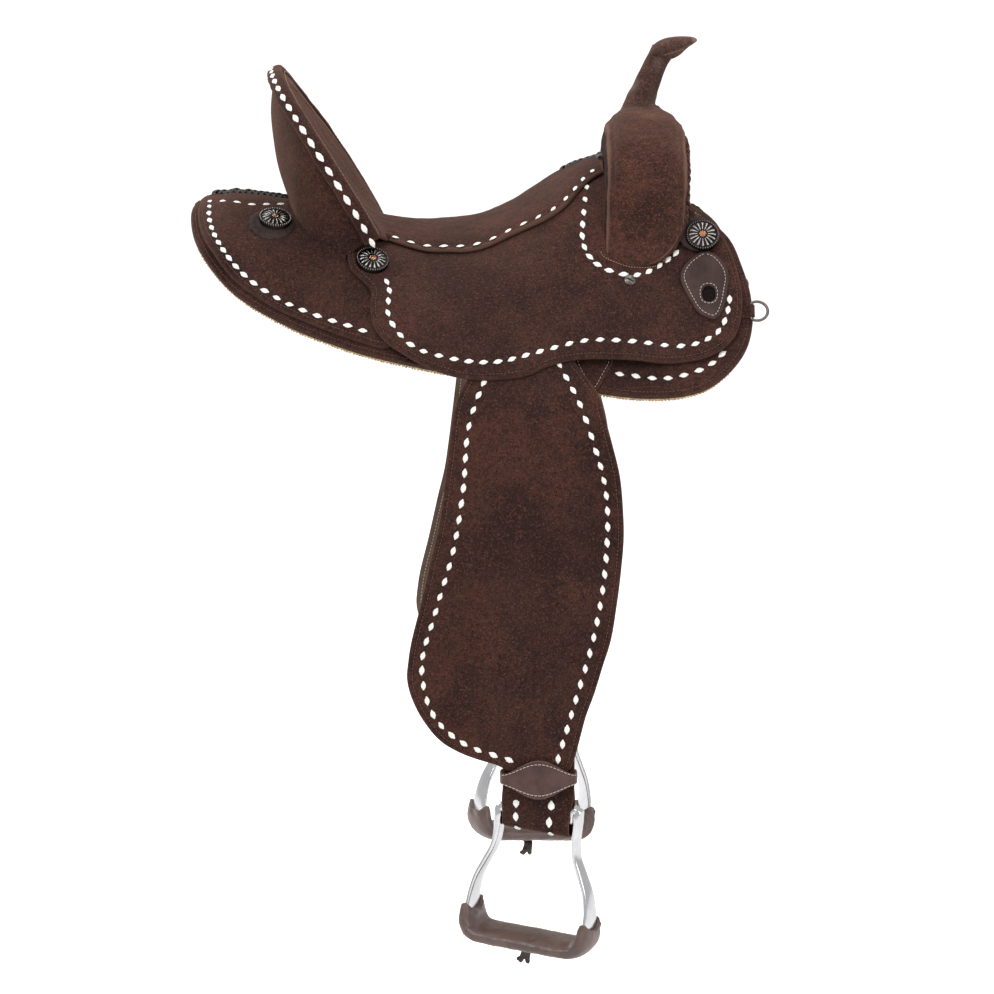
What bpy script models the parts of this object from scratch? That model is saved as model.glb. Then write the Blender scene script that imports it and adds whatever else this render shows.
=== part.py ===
"""Barrel racing saddle, size 15 in. Metres. +X is the horse's front, +Z is up, the origin is on the
centre plane at the height where the horse's spine would be under the middle of the seat."""

import math

import bmesh
import bpy
import numpy as np
from mathutils import Matrix, Vector
from mathutils.geometry import delaunay_2d_cdt

for old in list(bpy.data.objects):
    bpy.data.objects.remove(old, do_unlink=True)

# Driving sizes of the form that the leather lies on
FLANK_SLOPE = math.radians(57.5)
FLANK_Y = 0.1462
RIDGE = (
    (-0.34, 0.074), (-0.30, 0.074), (-0.25, 0.072), (-0.20, 0.064), (-0.15, 0.046), (-0.10, 0.032),
    (-0.04, 0.026), (0.04, 0.026), (0.10, 0.034), (0.14, 0.052), (0.18, 0.080),
    (0.24, 0.120), (0.32, 0.146),
)
SEAT_RIDGE = (
    (-0.34, 0.074), (-0.30, 0.074), (-0.25, 0.072), (-0.20, 0.064), (-0.15, 0.046), (-0.10, 0.032),
    (-0.04, 0.028), (0.017, 0.037), (0.05, 0.053), (0.085, 0.075), (0.11, 0.089),
    (0.138, 0.098), (0.18, 0.106), (0.24, 0.122), (0.32, 0.146),
)

# Thicknesses and fits of the leather
GAP = 0.0008
LAYER_GAP = 0.0012
FIT = 0.0004
FLEECE = 0.0135
SKIRT = 0.0060
BAR = 0.0070
JOCKEY = 0.0045
PLATE = 0.0030
STRAP = 0.0028
FENDER = 0.0040
PAD = 0.0095
PAD_EDGE = 0.0058
COVER = 0.0030
GROUND = 0.0030

# Heights above the skirt of what lies on it
PLATE_LOW = 0.0004
STRAP_LOW = PLATE_LOW + PLATE + 0.0006
FENDER_LOW = STRAP_LOW + STRAP + LAYER_GAP
REAR_JOCKEY_LOW = 0.0038
BAR_LOW = 0.0020
BAR_TOP = BAR_LOW + BAR
SIDE_JOCKEY_LOW = (
    (-0.14, 0.0100), (-0.09, 0.0100), (-0.06, 0.0102), (-0.03, FENDER_LOW + FENDER + GAP),
    (0.0, FENDER_LOW + FENDER + GAP), (0.15, FENDER_LOW + FENDER + GAP),
    (0.17, FENDER_LOW + FENDER), (0.21, 0.0042), (0.24, 0.0040), (0.32, 0.0040),
)

# Mesh sizes
CELL = 0.036
STEP = 0.019


def between(table, x):
    """Smooth curve through (x, value) pairs."""
    xs = np.array([row[0] for row in table])
    ys = np.array([row[1] for row in table])
    slopes = np.gradient(ys, xs)
    x = np.clip(x, xs[0], xs[-1])
    i = np.clip(np.searchsorted(xs, x) - 1, 0, len(xs) - 2)
    h = xs[i + 1] - xs[i]
    t = (x - xs[i]) / h
    return (
        (2 * t**3 - 3 * t**2 + 1) * ys[i]
        + (t**3 - 2 * t**2 + t) * h * slopes[i]
        + (3 * t**2 - 2 * t**3) * ys[i + 1]
        + (t**3 - t**2) * h * slopes[i + 1]
    )


def smoothstep(low, high, x):
    t = np.clip((np.asarray(x, float) - low) / (high - low), 0.0, 1.0)
    return t * t * (3 - 2 * t)


def arch(x, ridge):
    """Ridge height, radius of the round top, and the u where it runs into the straight flank."""
    top = between(ridge, x)
    across = FLANK_Y - top / math.tan(FLANK_SLOPE)
    radius = across / math.tan(FLANK_SLOPE / 2)
    join = -(top - radius * (1 - math.cos(FLANK_SLOPE))) / math.sin(FLANK_SLOPE)
    return top, radius, join


def ridge_u(x, ridge=RIDGE):
    top, radius, join = arch(x, ridge)
    return join - radius * FLANK_SLOPE


def on_form(x, u, n, ridge=RIDGE):
    """Point n above the form. u runs down its side and is 0 at the origin's height on the flank."""
    x, u, n = np.broadcast_arrays(*(np.asarray(value, float) for value in (x, u, n)))
    top, radius, join = arch(x, ridge)
    angle = np.clip(FLANK_SLOPE + (u - join) / radius, -0.3, FLANK_SLOPE)
    below = np.maximum(u - join, 0)
    y = radius * np.sin(angle) + below * math.cos(FLANK_SLOPE) + n * np.sin(angle)
    z = top - radius * (1 - np.cos(angle)) - below * math.sin(FLANK_SLOPE) + n * np.cos(angle)
    return np.stack([x, y, z], -1)


def u_at(x, y):
    """The u of the point of the form at this x and y."""
    top, radius, join = arch(x, RIDGE)
    angle = np.arcsin(np.clip(y / radius, 0, math.sin(FLANK_SLOPE)))
    below = np.maximum(y - radius * math.sin(FLANK_SLOPE), 0) / math.cos(FLANK_SLOPE)
    return join + radius * (angle - FLANK_SLOPE) + below


def on_top(x, u, n):
    return on_form(x, u, n, SEAT_RIDGE)


def bar_lift(x, u):
    """How far the bars under it lift the leather."""
    from_ridge = smoothstep(0.002, 0.026, u - ridge_u(x))
    return BAR * from_ridge * smoothstep(-0.302, -0.268, x) * (1 - smoothstep(-0.03, 0.02, u))


def rear_low(x, u):
    return REAR_JOCKEY_LOW + bar_lift(x, u)


def rear_high(x, u):
    return rear_low(x, u) + JOCKEY


def side_low(x, u):
    return between(SIDE_JOCKEY_LOW, x) + bar_lift(x, u) * (1 - smoothstep(-0.10, -0.04, x))


def side_high(x, u):
    return side_low(x, u) + JOCKEY


# Where the hanging fender turns from the flank to the vertical
DROP_START = 0.150
DROP_RADIUS = 0.09
DROP_END = DROP_START + DROP_RADIUS * (math.pi / 2 - FLANK_SLOPE)


def on_drop(x, s, n):
    """Point n out from the hanging leather, s down from the origin's height."""
    x, s, n = np.broadcast_arrays(*(np.asarray(value, float) for value in (x, s, n)))
    angle = np.clip(FLANK_SLOPE + (s - DROP_START) / DROP_RADIUS, FLANK_SLOPE, math.pi / 2)
    flank = np.minimum(s, DROP_START)
    y = FLANK_Y + flank * math.cos(FLANK_SLOPE) + n * np.sin(angle)
    y = y + DROP_RADIUS * (np.sin(angle) - math.sin(FLANK_SLOPE))
    z = -flank * math.sin(FLANK_SLOPE) - DROP_RADIUS * (math.cos(FLANK_SLOPE) - np.cos(angle))
    return np.stack([x, y, z - np.maximum(s - DROP_END, 0) + n * np.cos(angle)], -1)


def smooth(points, step, closed=False):
    """Catmull-Rom curve through points, cut to even steps."""
    points = np.array(points, float)
    count = len(points)
    if closed:
        order = np.arange(-1, count + 2) % count
        padded = points[order]
    else:
        padded = np.vstack([2 * points[0] - points[1], points, 2 * points[-1] - points[-2]])
    fine = []
    for i in range(len(padded) - 3):
        a, b, c, d = padded[i : i + 4]
        t = np.linspace(0, 1, 16, endpoint=False)[:, None]
        fine.append(
            0.5 * (2 * b + (c - a) * t + (2 * a - 5 * b + 4 * c - d) * t**2 + (3 * b - 3 * c + d - a) * t**3)
        )
    fine.append(padded[-2][None])
    fine = np.vstack(fine)
    length = np.concatenate([[0], np.cumsum(np.linalg.norm(np.diff(fine, axis=0), axis=1))])
    number = max(2, round(length[-1] / step)) + 1
    even = np.linspace(0, length[-1], number)
    cut = np.stack([np.interp(even, length, fine[:, k]) for k in range(points.shape[1])], -1)
    return cut[:-1] if closed else cut


def resample(points, number):
    points = smooth(points, 0.001)
    length = np.concatenate([[0], np.cumsum(np.linalg.norm(np.diff(points, axis=0), axis=1))])
    even = np.linspace(0, length[-1], number)
    return np.stack([np.interp(even, length, points[:, k]) for k in range(points.shape[1])], -1)


# Materials
COLOURS = {
    "suede": (0.055, 0.028, 0.020, 0.95, 0.0),
    "leather": (0.070, 0.030, 0.020, 0.55, 0.0),
    "lacing": (0.020, 0.012, 0.010, 0.50, 0.0),
    "fleece": (0.75, 0.62, 0.42, 0.95, 0.0),
    "wood": (0.55, 0.40, 0.24, 0.70, 0.0),
    "aluminium": (0.80, 0.80, 0.80, 0.20, 1.0),
    "steel": (0.30, 0.30, 0.30, 0.35, 1.0),
    "silver": (0.35, 0.32, 0.30, 0.35, 1.0),
}


def make(name, verts, faces, colour):
    mesh = bpy.data.meshes.new(name)
    mesh.from_pydata([tuple(map(float, v)) for v in verts], [], [tuple(map(int, f)) for f in faces])
    bm = bmesh.new()
    bm.from_mesh(mesh)
    bmesh.ops.remove_doubles(bm, verts=bm.verts, dist=0.00001)
    bmesh.ops.recalc_face_normals(bm, faces=bm.faces)
    if bm.calc_volume(signed=True) < 0:
        bmesh.ops.reverse_faces(bm, faces=bm.faces)
    bm.to_mesh(mesh)
    bm.free()
    for polygon in mesh.polygons:
        polygon.use_smooth = True
    obj = bpy.data.objects.new(name, mesh)
    bpy.context.scene.collection.objects.link(obj)
    material = bpy.data.materials.new(name)
    material.use_nodes = True
    shader = material.node_tree.nodes["Principled BSDF"]
    red, green, blue, rough, metal = COLOURS[colour]
    shader.inputs["Base Color"].default_value = (red, green, blue, 1)
    shader.inputs["Roughness"].default_value = rough
    shader.inputs["Metallic"].default_value = metal
    mesh.materials.append(material)
    return obj


def turns_on(obj, pivot):
    """Puts the object's origin at a point of its joint's axis."""
    obj.data.transform(Matrix.Translation(-Vector(pivot)))
    obj.location = pivot


def mirrored(points, side):
    return np.array(points, float) * np.array([1, side, 1])


def inside(polygon, points):
    """True for each of the points that is inside the polygon."""
    found = np.zeros(len(points), bool)
    ends = np.roll(polygon, -1, axis=0)
    for (x0, y0), (x1, y1) in zip(polygon, ends):
        if y0 == y1:
            continue
        crosses = (y0 > points[:, 1]) != (y1 > points[:, 1])
        found ^= crosses & (points[:, 0] < (x1 - x0) * (points[:, 1] - y0) / (y1 - y0) + x0)
    return found


def distance_to(polygon, points):
    starts = polygon[None]
    ends = np.roll(polygon, -1, axis=0)[None]
    along = ends - starts
    t = ((points[:, None] - starts) * along).sum(-1) / (along**2).sum(-1)
    nearest = starts + np.clip(t, 0, 1)[..., None] * along
    return np.linalg.norm(points[:, None] - nearest, axis=-1).min(1)


def plate(name, outline, surface, low, high, side, colour, holes=(), cell=CELL):
    """Leather cut to an outline in (x, u), laid on a surface between two heights above it."""
    loops = [np.array(outline)] + [np.array(hole) for hole in holes]
    low_x, low_u = loops[0].min(0)
    high_x, high_u = loops[0].max(0)
    rows = np.arange(math.floor(low_u / (cell * 0.8)), math.ceil(high_u / (cell * 0.8)) + 1)
    columns = np.arange(math.floor(low_x / cell) - 1, math.ceil(high_x / cell) + 1)
    lattice = np.array([((c + 0.5 * (r % 2)) * cell, r * cell * 0.8) for r in rows for c in columns])
    keep = inside(loops[0], lattice)
    for loop in loops:
        keep &= distance_to(loop, lattice) > 0.42 * cell
    for hole in loops[1:]:
        keep &= ~inside(hole, lattice)
    points = list(map(tuple, lattice[keep]))
    edges = []
    for loop in loops:
        first = len(points)
        points += list(map(tuple, loop))
        edges += [(first + i, first + (i + 1) % len(loop)) for i in range(len(loop))]
    found, _, triangles, *_ = delaunay_2d_cdt([Vector(p) for p in points], edges, [], 0, 1e-7)
    found = np.array([tuple(v) for v in found])
    triangles = np.array([tuple(t) for t in triangles])
    centres = found[triangles].mean(1)
    keep = inside(loops[0], centres)
    for hole in loops[1:]:
        keep &= ~inside(hole, centres)
    triangles = triangles[keep]
    used = np.unique(triangles)
    renumber = np.zeros(len(found), int)
    renumber[used] = np.arange(len(used))
    triangles, found = renumber[triangles], found[used]
    x, u = found[:, 0], found[:, 1]
    under = surface(x, u, low(x, u) if callable(low) else low)
    over = surface(x, u, high(x, u) if callable(high) else high)
    count = len(found)
    faces = [tuple(t) for t in triangles] + [tuple(count + t[::-1]) for t in triangles]
    directed = {(a, b) for t in triangles for a, b in zip(t, np.roll(t, -1))}
    faces += [(a, count + a, count + b, b) for a, b in directed if (b, a) not in directed]
    return make(name, mirrored(np.vstack([under, over]), side), faces, colour)


def grid_faces(rows, columns, start=0, wrap=False):
    faces = []
    for i in range(rows - 1):
        for j in range(columns if wrap else columns - 1):
            k = (j + 1) % columns
            faces.append([start + i * columns + j, start + i * columns + k])
            faces[-1] += [start + (i + 1) * columns + k, start + (i + 1) * columns + j]
    return faces


def slab(name, over, under, side, colour):
    """Solid between two grids of points, closed round the edge."""
    rows, columns = over.shape[:2]
    count = rows * columns
    faces = grid_faces(rows, columns) + [f[::-1] for f in grid_faces(rows, columns, count)]
    border = [j for j in range(columns)] + [i * columns + columns - 1 for i in range(1, rows)]
    border += [(rows - 1) * columns + j for j in range(columns - 2, -1, -1)]
    border += [i * columns for i in range(rows - 2, 0, -1)]
    for a, b in zip(border, border[1:] + border[:1]):
        faces.append((b, a, count + a, count + b))
    verts = np.vstack([over.reshape(-1, 3), under.reshape(-1, 3)])
    return make(name, mirrored(verts, side), faces, colour)


def loft(name, rings, side, colour, closed=False):
    """Solid through rings of points, with capped ends or closed on itself."""
    rings = np.array(rings)
    rows, columns = rings.shape[:2]
    faces = grid_faces(rows, columns, wrap=True)
    if closed:
        last = (rows - 1) * columns
        for j in range(columns):
            k = (j + 1) % columns
            faces.append((last + j, last + k, k, j))
    else:
        faces.append(tuple(range(columns - 1, -1, -1)))
        faces.append(tuple((rows - 1) * columns + j for j in range(columns)))
    return make(name, mirrored(rings.reshape(-1, 3), side), faces, colour)


def sleeve(name, outer, inner, side, colour):
    """Tube wall between two lofts, open at both ends."""
    outer, inner = np.array(outer), np.array(inner)
    rows, columns = outer.shape[:2]
    count = rows * columns
    faces = grid_faces(rows, columns, wrap=True)
    faces += [f[::-1] for f in grid_faces(rows, columns, count, wrap=True)]
    for j in range(columns):
        k = (j + 1) % columns
        faces.append((k, j, count + j, count + k))
        last = (rows - 1) * columns
        faces.append((last + j, last + k, count + last + k, count + last + j))
    verts = np.vstack([outer.reshape(-1, 3), inner.reshape(-1, 3)])
    return make(name, mirrored(verts, side), faces, colour)


def unit(vectors):
    vectors = np.array(vectors, float)
    return vectors / np.linalg.norm(vectors, axis=-1, keepdims=True)


def tangents(path, closed=False):
    path = np.array(path, float)
    if closed:
        return unit(np.roll(path, -1, axis=0) - np.roll(path, 1, axis=0))
    return unit(np.gradient(path, axis=0))


def rings_along(path, across, wide, thick, sides=8, power=2.0, closed=False, turn=None):
    """Rings of an oval section: wide along across, thick square to it and to the path."""
    path = np.array(path, float)
    ahead = tangents(path, closed)
    across = np.broadcast_to(np.array(across, float), path.shape)
    across = unit(across - (across * ahead).sum(-1, keepdims=True) * ahead)
    up = np.cross(ahead, across)
    wide = np.broadcast_to(wide, len(path))
    thick = np.broadcast_to(thick, len(path))
    angle = np.arange(sides) * 2 * math.pi / sides + (math.pi / sides if turn is None else turn)
    c = np.sign(np.cos(angle)) * np.abs(np.cos(angle)) ** (2 / power)
    s = np.sign(np.sin(angle)) * np.abs(np.sin(angle)) ** (2 / power)
    return (
        path[:, None]
        + across[:, None] * (wide[:, None] * c)[..., None]
        + up[:, None] * (thick[:, None] * s)[..., None]
    )


def disc(name, centre, normal, profile, sides, side, colour, scallop=0.0, lobes=0):
    """Turned piece from (radius, height) pairs, standing on centre along normal."""
    normal = unit(normal)
    first = unit(np.cross(normal, [0, 0, 1.0]))
    second = np.cross(normal, first)
    angle = np.arange(sides) * 2 * math.pi / sides
    rings = []
    for radius, height in profile:
        wave = 1 + scallop * np.cos(lobes * angle)
        ring = first * (radius * wave * np.cos(angle))[:, None]
        ring = ring + second * (radius * wave * np.sin(angle))[:, None]
        rings.append(np.array(centre) + normal * height + ring)
    return loft(name, rings, side, colour)


def normals_of(grid):
    """Unit normals of a grid of points, upward at its middle."""
    down = np.gradient(grid, axis=0)
    along = np.gradient(grid, axis=1)
    normal = unit(np.cross(down, along))
    return normal if normal[0, normal.shape[1] // 2, 2] > 0 else -normal


SIDES = ((1, "left"), (-1, "right"))

# Cut outlines in (x, u), one side
SKIRT_OUTLINE = (
    (-0.213, -0.164), (-0.255, -0.166), (-0.300, -0.166), (-0.314, -0.136), (-0.314, -0.102),
    (-0.310, -0.070), (-0.304, -0.048), (-0.295, -0.028), (-0.282, -0.006), (-0.265, 0.015),
    (-0.243, 0.033), (-0.216, 0.050), (-0.188, 0.065), (-0.155, 0.079), (-0.123, 0.091),
    (-0.080, 0.103), (-0.030, 0.114), (0.020, 0.121), (0.080, 0.131), (0.136, 0.139),
    (0.162, 0.143), (0.189, 0.145), (0.222, 0.143), (0.249, 0.135), (0.270, 0.120),
    (0.287, 0.100), (0.297, 0.080), (0.302, 0.057), (0.302, 0.034), (0.298, 0.010),
    (0.289, -0.019), (0.277, -0.042), (0.261, -0.063), (0.246, -0.081), (0.234, -0.097),
    (0.205, -0.112), (0.150, -0.112), (0.070, -0.108), (-0.020, -0.108), (-0.100, -0.115),
    (-0.160, -0.135),
)
REAR_JOCKEY_OUTLINE = (
    (-0.206, -0.164), (-0.255, -0.166), (-0.294, -0.166), (-0.305, -0.136), (-0.305, -0.102),
    (-0.302, -0.072), (-0.296, -0.051), (-0.287, -0.032), (-0.275, -0.011), (-0.259, 0.008),
    (-0.238, 0.025), (-0.212, 0.042), (-0.184, 0.056), (-0.152, 0.070), (-0.120, 0.082),
    (-0.094, 0.088), (-0.082, 0.070), (-0.084, 0.030), (-0.100, -0.010), (-0.118, -0.050),
    (-0.152, -0.098), (-0.185, -0.130),
)
SEAT_EDGE = (
    (-0.105, -0.060), (-0.080, -0.054), (-0.055, -0.045), (-0.030, -0.037), (-0.005, -0.035),
    (0.020, -0.042), (0.045, -0.053), (0.070, -0.060), (0.090, -0.070), (0.108, -0.090),
    (0.120, -0.110), (0.137, -0.133),
)
TUCK = 0.014
JOCKEY_LOW_EDGE = (
    (-0.121, -0.050), (-0.128, -0.026), (-0.124, -0.004), (-0.117, 0.009), (-0.112, 0.020),
    (-0.112, 0.039), (-0.111, 0.057), (-0.104, 0.074), (-0.092, 0.088), (-0.074, 0.101),
    (-0.052, 0.115), (-0.025, 0.127), (0.001, 0.132), (0.028, 0.132), (0.055, 0.128),
    (0.076, 0.118), (0.093, 0.112), (0.114, 0.108), (0.146, 0.107), (0.179, 0.108),
    (0.211, 0.108), (0.244, 0.103), (0.265, 0.093), (0.280, 0.078), (0.288, 0.059),
    (0.291, 0.038), (0.290, 0.014), (0.283, -0.015), (0.271, -0.040), (0.256, -0.058),
    (0.243, -0.073),
)
SWELL_CUT = (
    (0.2360, -0.084), (0.2330, -0.062), (0.2270, -0.038), (0.2150, -0.020), (0.1960, -0.0105),
    (0.1760, -0.0070), (0.1550, -0.0082), (0.1425, -0.015), (0.1388, -0.030), (0.1390, -0.070),
    (0.1385, -0.112), (0.1375, -0.145),
)
FENDER_OUTLINE = (
    (0.112, 0.114), (0.133, 0.146), (0.142, 0.176), (0.151, 0.207), (0.157, 0.234),
    (0.160, 0.266), (0.161, 0.299), (0.158, 0.337), (0.154, 0.370), (0.148, 0.408),
    (0.139, 0.438), (0.130, 0.468), (0.121, 0.493), (0.114, 0.520), (0.108, 0.541),
    (0.100, 0.553), (0.070, 0.556), (0.040, 0.553), (0.024, 0.546), (0.007, 0.541),
    (-0.010, 0.535), (-0.026, 0.527), (-0.037, 0.519), (-0.047, 0.508), (-0.059, 0.490),
    (-0.068, 0.470), (-0.072, 0.452), (-0.071, 0.435), (-0.067, 0.410), (-0.057, 0.370),
    (-0.046, 0.321), (-0.038, 0.288), (-0.033, 0.255), (-0.029, 0.223), (-0.025, 0.191),
    (-0.021, 0.165), (-0.013, 0.142), (0.004, 0.112), (0.028, 0.086), (0.060, 0.074),
    (0.090, 0.084),
)

# Skirts, fleece, bars and rear jockeys
BAR_OUTLINE = (
    (-0.240, -0.116), (-0.246, -0.088), (-0.236, -0.056), (-0.205, -0.036), (-0.150, -0.034),
    (-0.095, -0.030), (-0.030, -0.020), (0.050, -0.014), (0.120, -0.008), (0.170, -0.012),
    (0.198, -0.032), (0.216, -0.060), (0.216, -0.092), (0.180, -0.104), (0.100, -0.103),
    (0.020, -0.101), (-0.060, -0.100), (-0.130, -0.108), (-0.190, -0.120),
)


def clear_of_ridge(outline, gap=0.0004):
    """The outline with none of it over the centre plane."""
    outline = np.array(outline)
    outline[:, 1] = np.maximum(outline[:, 1], ridge_u(outline[:, 0]) + gap)
    return outline


def shrunk(outline, by):
    """The outline drawn in all round."""
    outline = np.array(outline)
    ahead = np.roll(outline, -1, axis=0) - np.roll(outline, 1, axis=0)
    inward = unit(np.stack([-ahead[:, 1], ahead[:, 0]], -1))
    area = (outline[:, 0] * np.roll(outline[:, 1], -1) - outline[:, 1] * np.roll(outline[:, 0], -1)).sum()
    return outline + inward * by * (1 if area > 0 else -1)


skirt_cut = smooth(SKIRT_OUTLINE, STEP, True)
rear_cut = smooth(REAR_JOCKEY_OUTLINE, STEP, True)
bar_cut = smooth(BAR_OUTLINE, 0.02, True)
for side, hand in SIDES:
    fleece_cut = clear_of_ridge(shrunk(skirt_cut, 0.003))
    fleece_top = -SKIRT - LAYER_GAP
    plate(f"fleece_{hand}", fleece_cut, on_form, fleece_top - FLEECE, fleece_top, side, "fleece")
    plate(f"skirt_{hand}", clear_of_ridge(skirt_cut), on_form, -SKIRT, 0.0, side, "suede")
    plate(f"tree_bar_{hand}", bar_cut, on_form, BAR_LOW, BAR_TOP, side, "wood")
    plate(f"rear_jockey_{hand}", clear_of_ridge(rear_cut), on_form, rear_low, rear_high, side, "suede")

# Side jockeys, with the cut round the swell
jockey_inner = [(x, between(SEAT_EDGE, x) - TUCK) for x in np.linspace(0.134, -0.098, 14)]
jockey_cut = np.vstack([
    smooth(JOCKEY_LOW_EDGE, STEP),
    smooth(SWELL_CUT, 0.012),
    smooth(jockey_inner, STEP),
])
for side, hand in SIDES:
    plate(f"side_jockey_{hand}", jockey_cut, on_top, side_low, side_high, side, "suede")

# Seat and the dish that runs up the cantle
SEAT_FRONT, SEAT_BACK = 0.1365, -0.092
SEAT_CROWN = 0.0255
PAD_RIM = 0.0065
CANTLE_BACKWARD = np.array([-0.84, 0, -0.54])
RIM = (
    (-0.2125, 0.000, 0.2170), (-0.2095, 0.045, 0.2115), (-0.2020, 0.080, 0.1990),
    (-0.1875, 0.110, 0.1775), (-0.1665, 0.136, 0.1470), (-0.1396, 0.144, 0.1050),
    (-0.1190, 0.141, 0.0710), (-0.1050, 0.133, 0.0450),
)
ACROSS = 9
FLAT_ROWS, DISH_ROWS = 12, 8

half = np.linspace(0, 1, ACROSS + 1)
rim_half = resample(RIM, ACROSS + 1)


def both_halves(half_row):
    """A row from right to left through the middle, from its left half."""
    half_row = np.array(half_row)
    return np.concatenate([half_row[:0:-1] * [1, -1, 1], half_row])


def seat_row(x):
    ridge = ridge_u(x, SEAT_RIDGE)
    edge = between(SEAT_EDGE, x)
    u = ridge + half * (edge - ridge)
    edge_high = side_high(x, edge) + 0.0014 + PAD_EDGE
    return on_top(x, u, SEAT_CROWN + (edge_high - SEAT_CROWN) * half**3)


flat_rows = [both_halves(seat_row(x)) for x in np.linspace(SEAT_FRONT, SEAT_BACK, FLAT_ROWS)]
start = flat_rows[-1]
rim_row = both_halves(rim_half)
span = np.linalg.norm(rim_row - start, axis=1, keepdims=True)
spread = np.abs(np.linspace(-1, 1, 2 * ACROSS + 1))[:, None]
leave = np.array([-1.0, 0, 0.0]) * span * 0.95 * (1 - 0.5 * spread)
arrive = span * ((1 - spread) * np.array([-0.36, 0, 0.93]) * 1.05 + spread * unit(rim_row - start))
dish_rows = []
for t in np.linspace(0, 1, DISH_ROWS + 1)[1:]:
    dish_rows.append(
        (2 * t**3 - 3 * t**2 + 1) * start
        + (t**3 - 2 * t**2 + t) * leave
        + (3 * t**2 - 2 * t**3) * rim_row
        + (t**3 - t**2) * arrive
    )
seat_top = np.array(flat_rows + dish_rows)
seat_normal = normals_of(seat_top)
row_share = np.concatenate([np.zeros(FLAT_ROWS), np.linspace(0, 1, DISH_ROWS + 1)[1:]])[:, None, None]
flat_depth = PAD_EDGE + (PAD - PAD_EDGE) * (1 - smoothstep(0.45, 0.85, spread[None]))
pad_depth = flat_depth + (PAD_RIM - flat_depth) * row_share
seat_under = seat_top - seat_normal * pad_depth
seat_under[-1] = rim_row + CANTLE_BACKWARD * PAD_RIM
slab("seat_pad", seat_top, seat_under, 1, "suede")

GROUND_IN = 3
GROUND_GAP = 0.0010
ground_top, ground_under = (
    (seat_under - seat_normal * depth)[: FLAT_ROWS + 3, GROUND_IN : -GROUND_IN : 2]
    for depth in (GROUND_GAP, GROUND_GAP + GROUND)
)
slab("ground_seat", ground_top, ground_under, 1, "leather")

# Cantle rim, back cover and board
CANTLE_THICK = 0.0160
BACK_BASE = ((-0.2086, 0.000), (-0.2060, 0.045), (-0.1930, 0.088), (-0.1680, 0.114), (-0.1400, 0.120))
BACK_BULGE = 0.008
BACK_ROWS = 6
BACK_RISE = 0.0018

rim_tangent = tangents(rim_row)
rim_outward = unit(np.cross(rim_tangent, CANTLE_BACKWARD))
rim_outward *= np.sign(rim_outward[ACROSS, 2])
binding_path = rim_row + CANTLE_BACKWARD * CANTLE_THICK / 2 + rim_outward * 0.0066
loft(
    "cantle_binding",
    rings_along(binding_path, CANTLE_BACKWARD, CANTLE_THICK / 2 + 0.0012, 0.0062, 10, 2.4),
    1,
    "suede",
)

base_half = resample(BACK_BASE, ACROSS + 1)
base_u = u_at(base_half[:, 0], base_half[:, 1])
base_half = on_form(base_half[:, 0], base_u, rear_high(base_half[:, 0], base_u) + BACK_RISE)
back_foot = both_halves(base_half)
back_head = rim_row + CANTLE_BACKWARD * CANTLE_THICK - rim_outward * 0.0008
back_top = []
for t in np.linspace(0, 1, BACK_ROWS + 1):
    bulge = np.array([-1.0, 0, 0]) * BACK_BULGE * 4 * t * (1 - t) * (1 - spread**2)
    back_top.append(back_head + (back_foot - back_head) * t + bulge)
back_top = np.array(back_top)
back_normal = unit(np.cross(np.gradient(back_top, axis=0), np.gradient(back_top, axis=1)))
back_normal *= -np.sign(back_normal[2, ACROSS, 0])
slab("cantle_back_cover", back_top, back_top - back_normal * COVER, 1, "suede")

CANTLE_IN = 3
front_board = (seat_under - seat_normal * 2 * FIT)[FLAT_ROWS + 3 : -1, CANTLE_IN:-CANTLE_IN]
back_board = (back_top - back_normal * (COVER + 2 * FIT))[:, CANTLE_IN:-CANTLE_IN]
back_board[0] = 0.6 * back_board[0] + 0.4 * back_board[1]
board_rings = []
for j in range(front_board.shape[1]):
    board_rings.append(np.vstack([front_board[:, j], back_board[:, j]]))
loft("tree_cantle", board_rings, 1, "wood")

# Swell: fork of the tree and the cover over it
SWELL_PATH = (
    (0.000, 0.1780), (0.040, 0.1765), (0.080, 0.1670), (0.112, 0.1480), (0.134, 0.1200),
    (0.143, 0.0900), (0.1455, 0.0650), (0.1490, 0.0420), (0.1555, 0.0200),
)
SWELL_STATIONS = (0.0, 0.13, 0.27, 0.41, 0.55, 0.67, 0.77, 0.88, 1.0)
SWELL_DEPTH = (0.050, 0.050, 0.049, 0.047, 0.041, 0.036, 0.028, 0.016, 0.0090)
SWELL_MIDDLE = (0.190, 0.190, 0.190, 0.190, 0.190, 0.189, 0.187, 0.184, 0.179)
SWELL_HALF = (0.0470, 0.0470, 0.0470, 0.0470, 0.0470, 0.0470, 0.0460, 0.0440, 0.0330)
SWELL_ROWS = 12
SWELL_SECTION = 10
SWELL_POWER = 2.7


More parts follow.
